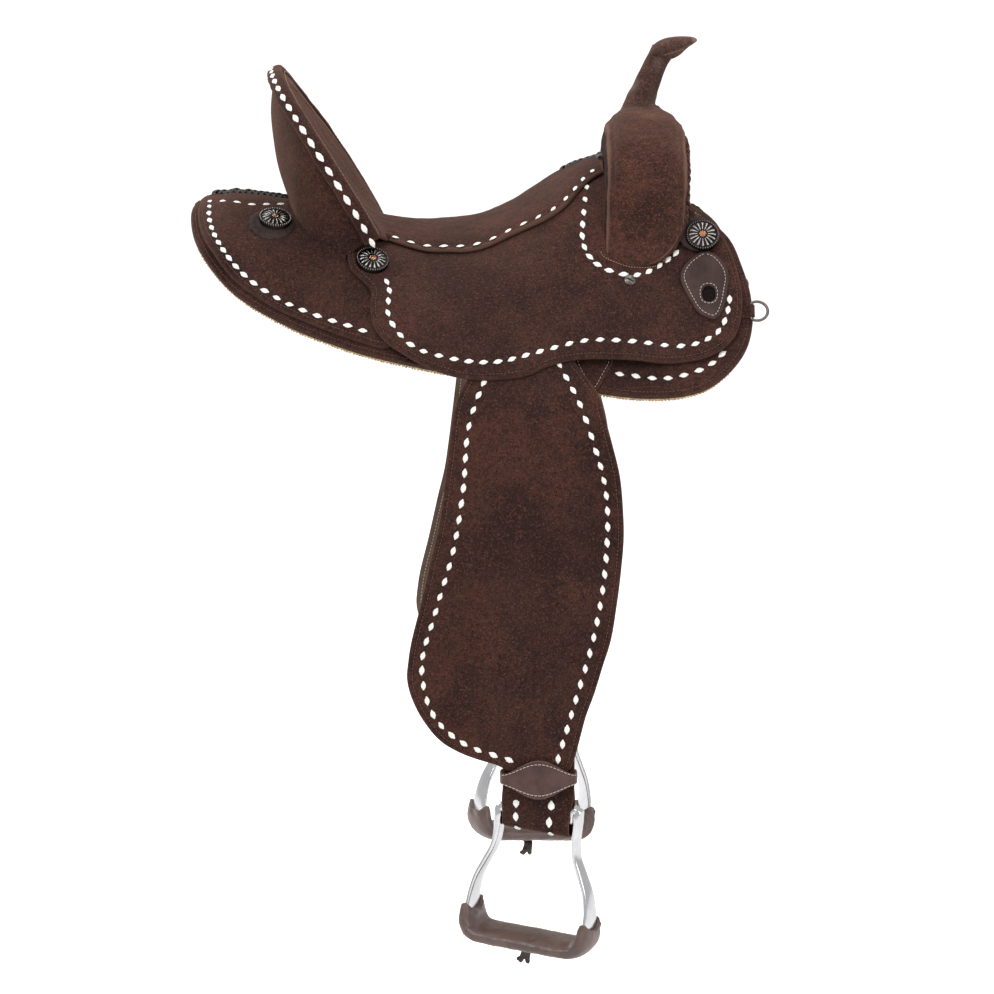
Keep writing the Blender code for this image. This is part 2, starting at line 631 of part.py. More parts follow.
def swell_rings(inset):
    """Sections of the swell from the middle to the left foot, drawn in by inset."""
    path = resample(SWELL_PATH, SWELL_ROWS)
    share = np.linspace(0, 1, SWELL_ROWS)
    depth = between(list(zip(SWELL_STATIONS, SWELL_DEPTH)), share)
    middle = between(list(zip(SWELL_STATIONS, SWELL_MIDDLE)), share)
    half_x = between(list(zip(SWELL_STATIONS, SWELL_HALF)), share)
    ahead = tangents(np.vstack([path[1] * [-1, 1], path]))[1:]
    outward = np.stack([-ahead[:, 1], ahead[:, 0]], -1)
    outward *= np.sign(outward[0, 1])
    angle = np.linspace(0, math.pi, SWELL_SECTION)
    c = np.sign(np.cos(angle)) * np.abs(np.cos(angle)) ** (2 / SWELL_POWER)
    s = np.abs(np.sin(angle)) ** (2 / SWELL_POWER)
    rings = []
    for i in range(SWELL_ROWS):
        rise = -depth[i] + (depth[i] - inset) * s
        x = middle[i] + (half_x[i] - inset) * c
        y = path[i, 0] + outward[i, 0] * rise
        z = path[i, 1] + outward[i, 1] * rise
        rings.append(np.stack([x, y, z], -1))
    return np.array(rings)


def both_ways(rings):
    return np.concatenate([rings[:0:-1] * [1, -1, 1], rings])


SWELL_LEATHER = 0.0035
swell_outer = both_ways(swell_rings(0.0))
swell_cover = slab("swell_cover", swell_outer, both_ways(swell_rings(SWELL_LEATHER)), 1, "suede")
tree_fork = loft("tree_fork", both_ways(swell_rings(SWELL_LEATHER + GAP + 0.0001)), 1, "wood")

# Horn
HORN_NECK = (
    (0.1890, 0.1785), (0.1925, 0.1900), (0.1985, 0.2060), (0.2035, 0.2180), (0.2080, 0.2280),
    (0.2145, 0.2375),
)
HORN_RADIUS = (0.0200, 0.0152, 0.0130, 0.0124, 0.0126, 0.0138)
HORN_BOLT = 0.0080
CAP_TILT = math.radians(17)
CAP_CENTRE = (0.2235, 0.0, 0.2478)
CAP_LENGTH, CAP_WIDTH = 0.0272, 0.0265
CAP_UNDER = 0.0078

neck = resample([(x, 0, z) for x, z in HORN_NECK], 8)
neck_radius = np.interp(np.linspace(0, 1, 8), np.linspace(0, 1, 6), HORN_RADIUS)
neck_rings = rings_along(neck, (0, 1, 0), neck_radius, neck_radius, 14)
hole_rings = rings_along(neck, (0, 1, 0), HORN_BOLT + GAP, HORN_BOLT + GAP, 14)
cap_axis = np.array([-math.sin(CAP_TILT), 0, math.cos(CAP_TILT)])
cap_along = np.array([math.cos(CAP_TILT), 0, math.sin(CAP_TILT)])


def to_cap(rings, gap):
    """The last ring slid along the neck to lie under the cap."""
    ahead = unit(neck[-1] - neck[-2])
    level = np.array(CAP_CENTRE) - cap_axis * (CAP_UNDER + gap)
    short = ((level - rings[-1]) * cap_axis).sum(-1) / (ahead * cap_axis).sum()
    rings[-1] = rings[-1] + ahead * short[:, None]


for rings in (neck_rings, hole_rings):
    rings[0, :, 2] = HORN_NECK[0][1] + FIT
    to_cap(rings, FIT)
core_path = np.vstack([neck[0] + [-0.004, 0, -0.014], neck[0] + [-0.002, 0, -0.007], neck])
sleeve("horn_wrap", neck_rings, hole_rings, 1, "leather")
core_rings = rings_along(core_path, (0, 1, 0), HORN_BOLT - 0.0004, HORN_BOLT - 0.0004, 10)
to_cap(core_rings, 2 * FIT)
loft("horn_core", core_rings, 1, "steel")
hole_start = core_path[0] + (core_path[0] - core_path[1]) * 0.08
hole_path = np.vstack([hole_start, core_path[1:3], core_path[2] + [0.002, 0, 0.01]])
hole = rings_along(hole_path, (0, 1, 0), HORN_BOLT + FIT, HORN_BOLT + FIT, 16)
for target in (swell_cover, tree_fork):
    cutter = loft(f"horn_hole_{target.name}", hole, 1, "wood")
    cutter.hide_render = True
    cutter.display_type = "WIRE"
    cut = target.modifiers.new("horn", "BOOLEAN")
    cut.operation = "DIFFERENCE"
    cut.solver = "EXACT"
    cut.object = cutter

cap_rings = []
CAP_PROFILE = (
    (0.50, -CAP_UNDER), (0.78, -0.0066), (0.95, -0.0030), (1.0, 0.0000), (0.96, 0.0026),
    (0.80, 0.0044), (0.40, 0.0054),
)
angle = np.arange(24) * 2 * math.pi / 24
for share, height in CAP_PROFILE:
    thin = 1 - 0.62 * smoothstep(0.50, 1.0, np.cos(angle) * share)
    ring = np.array(CAP_CENTRE) + cap_along * (CAP_LENGTH * share * np.cos(angle))[:, None]
    ring = ring + np.array([0, 1.0, 0]) * (CAP_WIDTH * share * np.sin(angle))[:, None]
    cap_rings.append(ring + cap_axis * (height * thin)[:, None])
loft("horn_cap", cap_rings, 1, "leather")

# Whip lacing
LACE = 0.0032
ridge_x = np.linspace(-0.302, -0.214, 18)
ridge_height = rear_high(ridge_x, ridge_u(ridge_x)) + FIT + LACE
ridge_line = np.stack([ridge_x, 0 * ridge_x, between(RIDGE, ridge_x) + ridge_height], -1)
loft("rear_lacing", rings_along(ridge_line, (0, 1, 0), 0.0050, LACE, 8), 1, "lacing")
seat_lace = seat_top[0, 4:-4] + seat_normal[0, 4:-4] * (LACE * 0.9 - FIT) + np.array([-0.0035, 0, 0])
loft("seat_lacing", rings_along(seat_lace, (1, 0, 0), 0.0042, LACE * 0.9, 8), 1, "lacing")
front_edge = swell_outer[3:-3, 2] + np.array([LACE + GAP, 0, 0])
loft("swell_lacing", rings_along(front_edge, (1, 0, 0), LACE, LACE, 6), 1, "lacing")

# Hanging leather: fender, stirrup leather, hobble strap and buckle
BOTTOM_TWIST = math.radians(22)
STIRRUP_TILT = math.radians(5)
STRAP_HALF = 0.039
STRAP_X = 0.070
STRAP_AT = {"right": STRAP_X, "left": STRAP_X + 0.006}
STRAP_DROP = {"right": 0.610, "left": 0.593}
BAR_RADIUS = 0.0066
LOOP = BAR_RADIUS + 0.0008 + STRAP / 2
INNER_TOP = 0.300
TWIST_START = 0.568
HOBBLE_S = 0.561
HOBBLE_HALF = 0.0425
HOBBLE_THICK = 0.0028
HOBBLE_ROOM = 0.0046
HOBBLE_RISE = (0.0095, 0.0185)
BUCKLE_HALF = 0.036
BUCKLE_S = (0.330, 0.356)
BUCKLE_THICK = 0.0022
PIVOT_S = 0.095


def turned(share):
    """Directions of the strap's width, and out of it, as it turns from the fender to the stirrup."""
    turn = BOTTOM_TWIST * np.asarray(share)
    tilt = STIRRUP_TILT * np.asarray(share)
    across = np.stack([np.cos(turn) * np.cos(tilt), np.sin(turn) * np.cos(tilt), -np.sin(tilt)], -1)
    out = np.stack([-np.sin(turn), np.cos(turn), 0 * turn], -1)
    return across, out


def strap_lines(hand):
    """Middle of the strap with its width direction, down the outer ply, round the bar and up again."""
    drop, strap_x = STRAP_DROP[hand], STRAP_AT[hand]
    s = np.concatenate([
        [0.058, 0.095], np.linspace(DROP_START, DROP_END, 6)[:-1], np.linspace(DROP_END, 0.550, 6),
        np.linspace(0.560, drop, 5),
    ])
    share = smoothstep(TWIST_START, drop - 0.004, s)
    across, out = turned(share)
    middle = on_drop(strap_x, s, STRAP_LOW + STRAP / 2)
    core = middle - np.array([0, LOOP, 0])
    outer = np.where((s > DROP_END)[:, None], core + out * LOOP, middle)
    across_end, out_end = turned(1.0)
    around = np.linspace(0, math.pi, 9)[1:-1, None]
    below = unit(np.cross(out_end, across_end))
    below = -below * np.sign(below[2])
    loop = core[-1] + out_end * LOOP * np.cos(around) + below * LOOP * np.sin(around)
    up_s = np.concatenate([np.linspace(drop, 0.560, 5), [0.545], np.linspace(0.500, INNER_TOP, 5)])
    up_across, up_out = turned(smoothstep(TWIST_START, drop - 0.004, up_s))
    close = (2 * LOOP - STRAP - FIT) * (1 - smoothstep(0.490, 0.570, up_s))
    up_core = on_drop(strap_x, up_s, STRAP_LOW + STRAP / 2) - np.array([0, LOOP, 0])
    inner = up_core - up_out * (LOOP - close[:, None])
    line = np.vstack([outer, loop, inner])
    wide = np.vstack([across, np.tile(across_end, (len(loop), 1)), up_across])
    return line, wide, core[-1]


def hobble_rings(extra, middle, deep, across, out):
    angle = np.arange(20) * 2 * math.pi / 20
    ring_x = np.sign(np.cos(angle)) * np.abs(np.cos(angle)) ** 0.22
    ring_y = np.sign(np.sin(angle)) * np.abs(np.sin(angle)) ** 0.55
    swell = np.exp(-((ring_x / 0.42) ** 2)) * (ring_y > 0)
    rise = HOBBLE_RISE[0] + (HOBBLE_RISE[1] - HOBBLE_RISE[0]) * swell
    flat_ring = across * (ring_x * (HOBBLE_HALF + extra))[:, None]
    flat_ring = flat_ring + out * (ring_y * (deep + extra))[:, None]
    return [middle + flat_ring + np.array([0, 0, 1.0]) * (rise * h)[:, None] for h in (-1, -0.4, 0.4, 1)]


fender_cut = smooth(FENDER_OUTLINE, 0.021, True)
widths = np.linspace(-STRAP_HALF, STRAP_HALF, 3)[None, :, None]
for side, hand in SIDES:
    fender = plate(
        f"fender_{hand}", fender_cut, on_drop, FENDER_LOW, FENDER_LOW + FENDER, side, "suede"
    )
    line, wide, core_end = strap_lines(hand)
    strap_out = unit(np.cross(wide, tangents(line)))
    grid = line[:, None] + wide[:, None] * widths
    over, under = grid + strap_out[:, None] * STRAP / 2, grid - strap_out[:, None] * STRAP / 2
    leather = slab(f"stirrup_leather_{hand}", over, under, side, "suede")
    across, out = turned(smoothstep(TWIST_START, STRAP_DROP[hand] - 0.004, HOBBLE_S))
    face = on_drop(STRAP_AT[hand], HOBBLE_S, FENDER_LOW + FENDER)
    back = on_drop(STRAP_AT[hand], HOBBLE_S, STRAP_LOW + STRAP / 2)[1] - 2 * LOOP - STRAP / 2
    middle = np.array([STRAP_AT[hand], (face[1] + back) / 2, face[2]])
    deep = (face[1] - back) / 2 + HOBBLE_ROOM
    outer = hobble_rings(HOBBLE_THICK, middle, deep, across, out)
    inner = hobble_rings(0.0, middle, deep, across, out)
    hobble = sleeve(f"hobble_strap_{hand}", outer, inner, side, "leather")
    half_x, (top_s, low_s) = BUCKLE_HALF, BUCKLE_S
    corners = [(-half_x, top_s), (half_x, top_s), (half_x, low_s), (-half_x, low_s)]
    outline = smooth([(STRAP_AT[hand] + x, v) for x, v in corners], 0.008, True)
    high = STRAP_LOW - FIT - STRAP - FIT
    buckle = plate(
        f"strap_buckle_{hand}", outline, on_drop, high - BUCKLE_THICK, high, side, "steel"
    )
    for piece in (fender, leather, hobble, buckle):
        turns_on(piece, mirrored(on_drop(STRAP_X, PIVOT_S, 0), side))

# Stirrup: frame, leather round the tread, lace
STIRRUP = (
    (0.000, 0.000), (0.0405, 0.000), (0.0450, -0.005), (0.0458, -0.018), (0.0495, -0.034),
    (0.0580, -0.052), (0.0650, -0.070), (0.0685, -0.090), (0.0685, -0.108), (0.0660, -0.122),
    (0.0560, -0.1300), (0.0300, -0.1300), (0.0000, -0.1300),
)
STIRRUP_DEEP = (
    0.0062, 0.0062, 0.0085, 0.0100, 0.0115, 0.0135, 0.0170, 0.0210, 0.0260, 0.0300, 0.0330,
    0.0330, 0.0330,
)
STIRRUP_THICK = (
    0.0062, 0.0062, 0.0058, 0.0044, 0.0038, 0.0038, 0.0038, 0.0038, 0.0038, 0.0042, 0.0045,
    0.0045, 0.0045,
)
WRAP = 0.0055
WRAP_FROM = 10
half_path = resample([(x, 0, z) for x, z in STIRRUP], 17)
lengths = np.concatenate([[0], np.cumsum([math.dist(a, b) for a, b in zip(STIRRUP, STIRRUP[1:])])])
deep_half = np.interp(np.linspace(0, 1, 17), lengths / lengths[-1], STIRRUP_DEEP)
thick_half = np.interp(np.linspace(0, 1, 17), lengths / lengths[-1], STIRRUP_THICK)
frame_path = np.vstack([half_path, (half_path * [-1, 1, 1])[-2:0:-1]])
frame_deep = np.concatenate([deep_half, deep_half[-2:0:-1]])
frame_thick = np.concatenate([thick_half, thick_half[-2:0:-1]])
stirrup_across, stirrup_out = turned(1.0)
stirrup_up = unit(np.cross(stirrup_out, stirrup_across))
stirrup_up *= np.sign(stirrup_up[2])


def hung(points, middle):
    """Points of the stirrup's own frame, put where it hangs."""
    points = np.array(points)
    across, out, up = points[..., :1], points[..., 1:2], points[..., 2:3]
    return middle + across * stirrup_across + out * stirrup_out + up * stirrup_up


frame_rings = rings_along(frame_path, (0, 1, 0), frame_deep, frame_thick, 8, 2.4, closed=True)
wrap_index = list(range(WRAP_FROM, len(frame_path) - WRAP_FROM + 1))
wrap_outer, wrap_inner = (
    rings_along(
        frame_path, (0, 1, 0), frame_deep + more, frame_thick + more, 8, 2.4, closed=True
    )[wrap_index]
    for more in (WRAP, FIT)
)
TREAD_LACE = (
    (-0.0040, 0.010, -0.1415), (-0.0040, -0.002, -0.1419), (-0.0045, -0.006, -0.1480),
    (-0.0060, -0.004, -0.1560),
)
for side, hand in SIDES:
    middle = strap_lines(hand)[2]
    frame = loft(f"stirrup_{hand}", hung(frame_rings, middle), side, "aluminium", closed=True)
    outer, inner = hung(wrap_outer, middle), hung(wrap_inner, middle)
    wrap = sleeve(f"tread_wrap_{hand}", outer, inner, side, "leather")
    lace_rings = rings_along(
        smooth(hung(TREAD_LACE, middle), 0.004), stirrup_across, 0.0032, 0.0016, 6
    )
    lace = loft(f"tread_lace_{hand}", lace_rings, side, "lacing")
    for piece in (frame, wrap, lace):
        turns_on(piece, mirrored(middle, side))

# Rigging leather and rigging dee
RIGGING_OUTLINE = (
    (0.108, 0.060), (0.147, 0.060), (0.152, 0.085), (0.149, 0.105), (0.141, 0.122), (0.132, 0.138),
    (0.123, 0.134), (0.115, 0.120), (0.109, 0.106), (0.106, 0.085),
)
DEE_OUTLINE = (
    (0.036, 0.078), (0.070, 0.074), (0.098, 0.078), (0.102, 0.098), (0.096, 0.114), (0.070, 0.117),
    (0.042, 0.113), (0.033, 0.097),
)
DEE_SLOT = (
    (0.047, 0.090), (0.070, 0.088), (0.090, 0.090), (0.0925, 0.097), (0.088, 0.104),
    (0.070, 0.105), (0.051, 0.103), (0.0445, 0.097),
)
RIGGING = 0.0026
rigging_cut = smooth(RIGGING_OUTLINE, 0.012, True)
dee_cut, dee_slot = smooth(DEE_OUTLINE, 0.011, True), smooth(DEE_SLOT, 0.008, True)
for side, hand in SIDES:
    top = PLATE_LOW + RIGGING
    plate(f"rigging_leather_{hand}", rigging_cut, on_form, PLATE_LOW, top, side, "leather")
    top = PLATE_LOW + PLATE
    plate(f"rigging_dee_{hand}", dee_cut, on_form, PLATE_LOW, top, side, "steel", (dee_slot,))

# Latigo keeper, breast dee and conchos
KEEPER_OUTLINE = (
    (0.250, -0.026), (0.235, -0.016), (0.227, -0.005), (0.224, 0.006), (0.227, 0.018), (0.233, 0.032),
    (0.241, 0.047), (0.251, 0.055), (0.260, 0.057), (0.267, 0.051), (0.272, 0.037), (0.275, 0.022),
    (0.277, 0.007), (0.274, -0.007), (0.264, -0.021),
)
KEEPER_SLOT = (
    (0.2460, 0.016), (0.2530, 0.012), (0.2600, 0.016), (0.2625, 0.026), (0.2610, 0.035),
    (0.2545, 0.037), (0.2475, 0.032), (0.2455, 0.024),
)
KEEPER = 0.0030
KEEPER_RISE = 0.0006


def keeper_low(x, u):
    return side_high(x, u) + KEEPER_RISE


def keeper_high(x, u):
    return keeper_low(x, u) + KEEPER


CONCHO_PROFILE = (
    (0.0188, 0.0), (0.0190, 0.0014), (0.0150, 0.0022), (0.0110, 0.0034), (0.0060, 0.0056),
    (0.0020, 0.0070),
)
CONCHO_SIDES = 16
ROSETTE = 0.0255


def normal_at(surface, height, x, u):
    """Unit normal at one point of what lies at a height over a surface, for the left side."""
    step = 0.012
    along = surface(x + step, u, height(x + step, u)) - surface(x - step, u, height(x - step, u))
    down = surface(x, u + step, height(x, u + step)) - surface(x, u - step, height(x, u - step))
    normal = unit(np.cross(down, along))
    return normal if normal[1] > 0 else -normal


CONCHO_SPOTS = (
    ("front", on_top, side_high, 0.250, -0.042, 0.0044, ROSETTE * 0.72),
    ("seat", on_top, side_high, -0.113, -0.020, 0.0002, 0.0),
    ("rear", on_form, rear_high, -0.224, -0.071, 0.0003, ROSETTE),
)
keeper_cut, keeper_slot = smooth(KEEPER_OUTLINE, 0.010, True), smooth(KEEPER_SLOT, 0.006, True)
for side, hand in SIDES:
    keeper = plate(
        f"latigo_keeper_{hand}", keeper_cut, on_top, keeper_low, keeper_high, side, "leather",
        (keeper_slot,), cell=0.02,
    )
    for place, surface, height, x, u, rise, rosette in CONCHO_SPOTS:
        normal = normal_at(surface, height, x, u)
        centre = surface(x, u, height(x, u)) + normal * rise
        if rosette:
            backing = ((rosette * 0.98, 0.0), (rosette, 0.0008), (rosette * 0.98, 0.0018))
            disc(f"rosette_{place}_{hand}", centre, normal, backing, 28, side, "leather", 0.03, 16)
            centre = centre + normal * 0.0022
        disc(f"concho_{place}_{hand}", centre, normal, CONCHO_PROFILE, CONCHO_SIDES, side, "silver")
        if place == "front":
            turns_on(keeper, mirrored(centre, side))

BREAST_AT = (0.3005, 0.0440)
BREAST_RISE = 0.0044
BREAST_RING = 0.0115
BREAST_FLAT = 0.55
BREAST_WIRE = 0.0016
TAB = 0.0018
TAB_HALF = 0.0068
TAB_LENGTH = 0.030
ring_angle = np.arange(14) * 2 * math.pi / 14
ring_reach = BREAST_RING * (BREAST_FLAT + np.maximum(np.cos(ring_angle), -BREAST_FLAT))
tab_turn = np.linspace(-math.pi / 2, math.pi / 2 + 0.6, 8)
eye = BREAST_WIRE + FIT + TAB / 2
for side, hand in SIDES:
    spot = on_form(*BREAST_AT, BREAST_RISE)
    down = unit(on_form(BREAST_AT[0], BREAST_AT[1] + 0.01, BREAST_RISE) - spot)
    forward = np.array([1.0, 0, 0])
    outward = np.cross(down, forward)
    outward *= np.sign(outward[1])
    ring = spot + forward * ring_reach[:, None] + down * BREAST_RING * np.sin(ring_angle)[:, None]
    dee_rings = rings_along(ring, outward, BREAST_WIRE, BREAST_WIRE, 6, closed=True)
    dee = loft(f"breast_dee_{hand}", dee_rings, side, "steel", closed=True)
    turns_on(dee, mirrored(spot, side))
    flat_part = [(-TAB_LENGTH, -eye), (-TAB_LENGTH * 2 / 3, -eye), (-TAB_LENGTH / 3, -eye)]
    round_part = [(math.cos(turn) * eye, math.sin(turn) * eye) for turn in tab_turn]
    tab_line = np.array([spot + forward * a + outward * b for a, b in flat_part + round_part])
    tab_out = unit(np.cross(tangents(tab_line), down))[:, None]
    tab_grid = tab_line[:, None] + down * np.linspace(-TAB_HALF, TAB_HALF, 3)[None, :, None]
    over, under = tab_grid + tab_out * TAB / 2, tab_grid - tab_out * TAB / 2
    slab(f"breast_tab_{hand}", over, under, side, "leather")
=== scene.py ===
"""Barrel racing saddle: the finish of every surface. Metres, +X is the horse's front, +Z is up.

The leather lies on nearly the same form as in part.py, so that form's sizes and curves are repeated here."""

import math

import bpy
import numpy as np
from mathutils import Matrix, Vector
from mathutils.geometry import delaunay_2d_cdt


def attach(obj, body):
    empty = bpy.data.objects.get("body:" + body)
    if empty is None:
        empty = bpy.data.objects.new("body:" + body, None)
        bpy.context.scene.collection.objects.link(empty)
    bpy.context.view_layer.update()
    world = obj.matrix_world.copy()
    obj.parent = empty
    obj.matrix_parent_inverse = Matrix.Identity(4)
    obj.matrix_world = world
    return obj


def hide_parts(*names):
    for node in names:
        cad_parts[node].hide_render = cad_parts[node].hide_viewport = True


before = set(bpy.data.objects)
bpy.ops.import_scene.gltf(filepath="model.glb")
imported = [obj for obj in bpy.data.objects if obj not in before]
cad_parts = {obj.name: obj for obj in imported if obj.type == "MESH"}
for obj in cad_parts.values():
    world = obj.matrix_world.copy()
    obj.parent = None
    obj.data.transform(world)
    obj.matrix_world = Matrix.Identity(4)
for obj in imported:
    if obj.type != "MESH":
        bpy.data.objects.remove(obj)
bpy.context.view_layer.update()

SIDES = ((1, "left"), (-1, "right"))

# The form that the leather lies on, nearly as in part.py
FLANK_SLOPE = math.radians(57.5)
FLANK_Y = 0.1462
RIDGE = (
    (-0.34, 0.074), (-0.30, 0.074), (-0.25, 0.072), (-0.20, 0.064), (-0.15, 0.046), (-0.10, 0.032),
    (-0.04, 0.026), (0.04, 0.026), (0.10, 0.034), (0.14, 0.052), (0.18, 0.080),
    (0.24, 0.120), (0.32, 0.146),
)
SEAT_RIDGE = (
    (-0.34, 0.074), (-0.30, 0.074), (-0.25, 0.072), (-0.20, 0.064), (-0.15, 0.046), (-0.10, 0.032),
    (-0.04, 0.028), (0.017, 0.037), (0.05, 0.053), (0.085, 0.075), (0.11, 0.089),
    (0.138, 0.098), (0.18, 0.106), (0.24, 0.122), (0.32, 0.146),
)
GAP, LAYER_GAP, FIT = 0.0008, 0.0012, 0.0004
FLEECE, SKIRT, BAR, JOCKEY, PLATE = 0.0135, 0.0060, 0.0070, 0.0045, 0.0030
STRAP, FENDER = 0.0028, 0.0040
PAD, PAD_EDGE, COVER = 0.0095, 0.0058, 0.0030
PLATE_LOW = 0.0004
STRAP_LOW = PLATE_LOW + PLATE + 1.5 * FIT
FENDER_LOW = STRAP_LOW + STRAP + LAYER_GAP
REAR_JOCKEY_LOW = 0.0038
OVER_REAR = REAR_JOCKEY_LOW + JOCKEY + 0.0017
OVER_FENDER = FENDER_LOW + FENDER + GAP
SIDE_JOCKEY_LOW = (
    (-0.14, OVER_REAR), (-0.09, OVER_REAR), (-0.06, OVER_REAR), (-0.03, OVER_FENDER),
    (0.0, OVER_FENDER), (0.15, OVER_FENDER), (0.17, OVER_FENDER - GAP), (0.21, 0.0042),
    (0.24, 0.0040), (0.32, 0.0040),
)
DROP_START, DROP_RADIUS = 0.150, 0.09
DROP_END = DROP_START + DROP_RADIUS * (math.pi / 2 - FLANK_SLOPE)


def between(table, x):
    """Smooth curve through (x, value) pairs."""
    xs = np.array([row[0] for row in table])
    ys = np.array([row[1] for row in table])
    slopes = np.gradient(ys, xs)
    x = np.clip(x, xs[0], xs[-1])
    i = np.clip(np.searchsorted(xs, x) - 1, 0, len(xs) - 2)
    h = xs[i + 1] - xs[i]
    t = (x - xs[i]) / h
    return (
        (2 * t**3 - 3 * t**2 + 1) * ys[i]
        + (t**3 - 2 * t**2 + t) * h * slopes[i]
        + (3 * t**2 - 2 * t**3) * ys[i + 1]
        + (t**3 - t**2) * h * slopes[i + 1]
    )


def smoothstep(low, high, x):
    t = np.clip((np.asarray(x, float) - low) / (high - low), 0.0, 1.0)
    return t * t * (3 - 2 * t)


def arch(x, ridge):
    top = between(ridge, x)
    across = FLANK_Y - top / math.tan(FLANK_SLOPE)
    radius = across / math.tan(FLANK_SLOPE / 2)
    join = -(top - radius * (1 - math.cos(FLANK_SLOPE))) / math.sin(FLANK_SLOPE)
    return top, radius, join


def ridge_u(x, ridge=RIDGE):
    top, radius, join = arch(x, ridge)
    return join - radius * FLANK_SLOPE


def on_form(x, u, n, ridge=RIDGE):
    """Point n above the form. u runs down its side and is 0 at the origin's height on the flank."""
    x, u, n = np.broadcast_arrays(*(np.asarray(value, float) for value in (x, u, n)))
    top, radius, join = arch(x, ridge)
    angle = np.clip(FLANK_SLOPE + (u - join) / radius, -0.3, FLANK_SLOPE)
    below = np.maximum(u - join, 0)
    y = radius * np.sin(angle) + below * math.cos(FLANK_SLOPE) + n * np.sin(angle)
    z = top - radius * (1 - np.cos(angle)) - below * math.sin(FLANK_SLOPE) + n * np.cos(angle)
    return np.stack([x, y, z], -1)


def u_at(x, y):
    top, radius, join = arch(x, RIDGE)
    angle = np.arcsin(np.clip(y / radius, 0, math.sin(FLANK_SLOPE)))
    below = np.maximum(y - radius * math.sin(FLANK_SLOPE), 0) / math.cos(FLANK_SLOPE)
    return join + radius * (angle - FLANK_SLOPE) + below


def on_top(x, u, n):
    return on_form(x, u, n, SEAT_RIDGE)


def bar_lift(x, u):
    from_ridge = smoothstep(0.005, 0.030, u - ridge_u(x))
    return BAR * from_ridge * smoothstep(-0.302, -0.268, x) * (1 - smoothstep(-0.03, 0.02, u))


def rear_low(x, u):
    near_ridge = (1 - smoothstep(0.030, 0.060, u - ridge_u(x))) * (1 - smoothstep(-0.215, -0.195, x))
    return REAR_JOCKEY_LOW - 0.0013 * near_ridge + bar_lift(x, u)


def rear_high(x, u):
    return rear_low(x, u) + JOCKEY


def side_low(x, u):
    return between(SIDE_JOCKEY_LOW, x) + bar_lift(x, u) * (1 - smoothstep(-0.10, -0.04, x))


def side_high(x, u):
    return side_low(x, u) + JOCKEY


def on_drop(x, s, n):
    """Point n out from the hanging leather, s down from the origin's height."""
    x, s, n = np.broadcast_arrays(*(np.asarray(value, float) for value in (x, s, n)))
    angle = np.clip(FLANK_SLOPE + (s - DROP_START) / DROP_RADIUS, FLANK_SLOPE, math.pi / 2)
    flank = np.minimum(s, DROP_START)
    y = FLANK_Y + flank * math.cos(FLANK_SLOPE) + n * np.sin(angle)
    y = y + DROP_RADIUS * (np.sin(angle) - math.sin(FLANK_SLOPE))
    z = -flank * math.sin(FLANK_SLOPE) - DROP_RADIUS * (math.cos(FLANK_SLOPE) - np.cos(angle))
    return np.stack([x, y, z - np.maximum(s - DROP_END, 0) + n * np.cos(angle)], -1)


def smooth(points, step, closed=False):
    """Catmull-Rom curve through points, cut to even steps."""
    points = np.array(points, float)
    count = len(points)
    if closed:
        padded = points[np.arange(-1, count + 2) % count]
    else:
        padded = np.vstack([2 * points[0] - points[1], points, 2 * points[-1] - points[-2]])
    fine = []
    for i in range(len(padded) - 3):
        a, b, c, d = padded[i : i + 4]
        t = np.linspace(0, 1, 16, endpoint=False)[:, None]
        fine.append(
            0.5 * (2 * b + (c - a) * t + (2 * a - 5 * b + 4 * c - d) * t**2 + (3 * b - 3 * c + d - a) * t**3)
        )
    fine.append(padded[-2][None])
    fine = np.vstack(fine)
    cut = evenly(fine, step=step)
    return cut[:-1] if closed else cut


def evenly(line, step=None, count=None):
    """The line cut again to even steps."""
    length = np.concatenate([[0], np.cumsum(np.linalg.norm(np.diff(line, axis=0), axis=1))])
    count = count or max(2, round(length[-1] / step)) + 1
    even = np.linspace(0, length[-1], count)
    return np.stack([np.interp(even, length, line[:, k]) for k in range(line.shape[1])], -1)


def resample(points, number):
    return evenly(smooth(points, 0.001), count=number)


def unit(vectors):
    vectors = np.array(vectors, float)
    return vectors / np.maximum(np.linalg.norm(vectors, axis=-1, keepdims=True), 1e-12)


def tangents(path, closed=False):
    path = np.array(path, float)
    if closed:
        return unit(np.roll(path, -1, axis=0) - np.roll(path, 1, axis=0))
    return unit(np.gradient(path, axis=0))


def refine(grid, rows, columns):
    """Grid of points redrawn through smooth curves at the given row and column places."""
    for places in (rows, columns):
        count = len(grid)
        padded = np.concatenate([2 * grid[:1] - grid[1:2], grid, 2 * grid[-1:] - grid[-2:-1]])
        i = np.clip(np.floor(places).astype(int), 0, count - 2)
        t = (places - i).reshape(-1, *[1] * (grid.ndim - 1))
        a, b, c, d = (padded[i + k] for k in range(4))
        grid = 0.5 * (
            2 * b + (c - a) * t + (2 * a - 5 * b + 4 * c - d) * t**2 + (3 * b - 3 * c + d - a) * t**3
        )
        grid = np.swapaxes(grid, 0, 1)
    return grid


def wander(points, size, seed):
    """Smooth unevenness of about -1 to 1, with bumps of about the given size."""
    chance = np.random.default_rng(seed)
    waves = unit(chance.normal(size=(14, 3))) * (chance.uniform(0.6, 1.6, (14, 1)) * 2 * math.pi / size)
    phases = chance.uniform(0, 2 * math.pi, 14)
    return np.sin(np.asarray(points) @ waves.T + phases).sum(-1) / 5.3


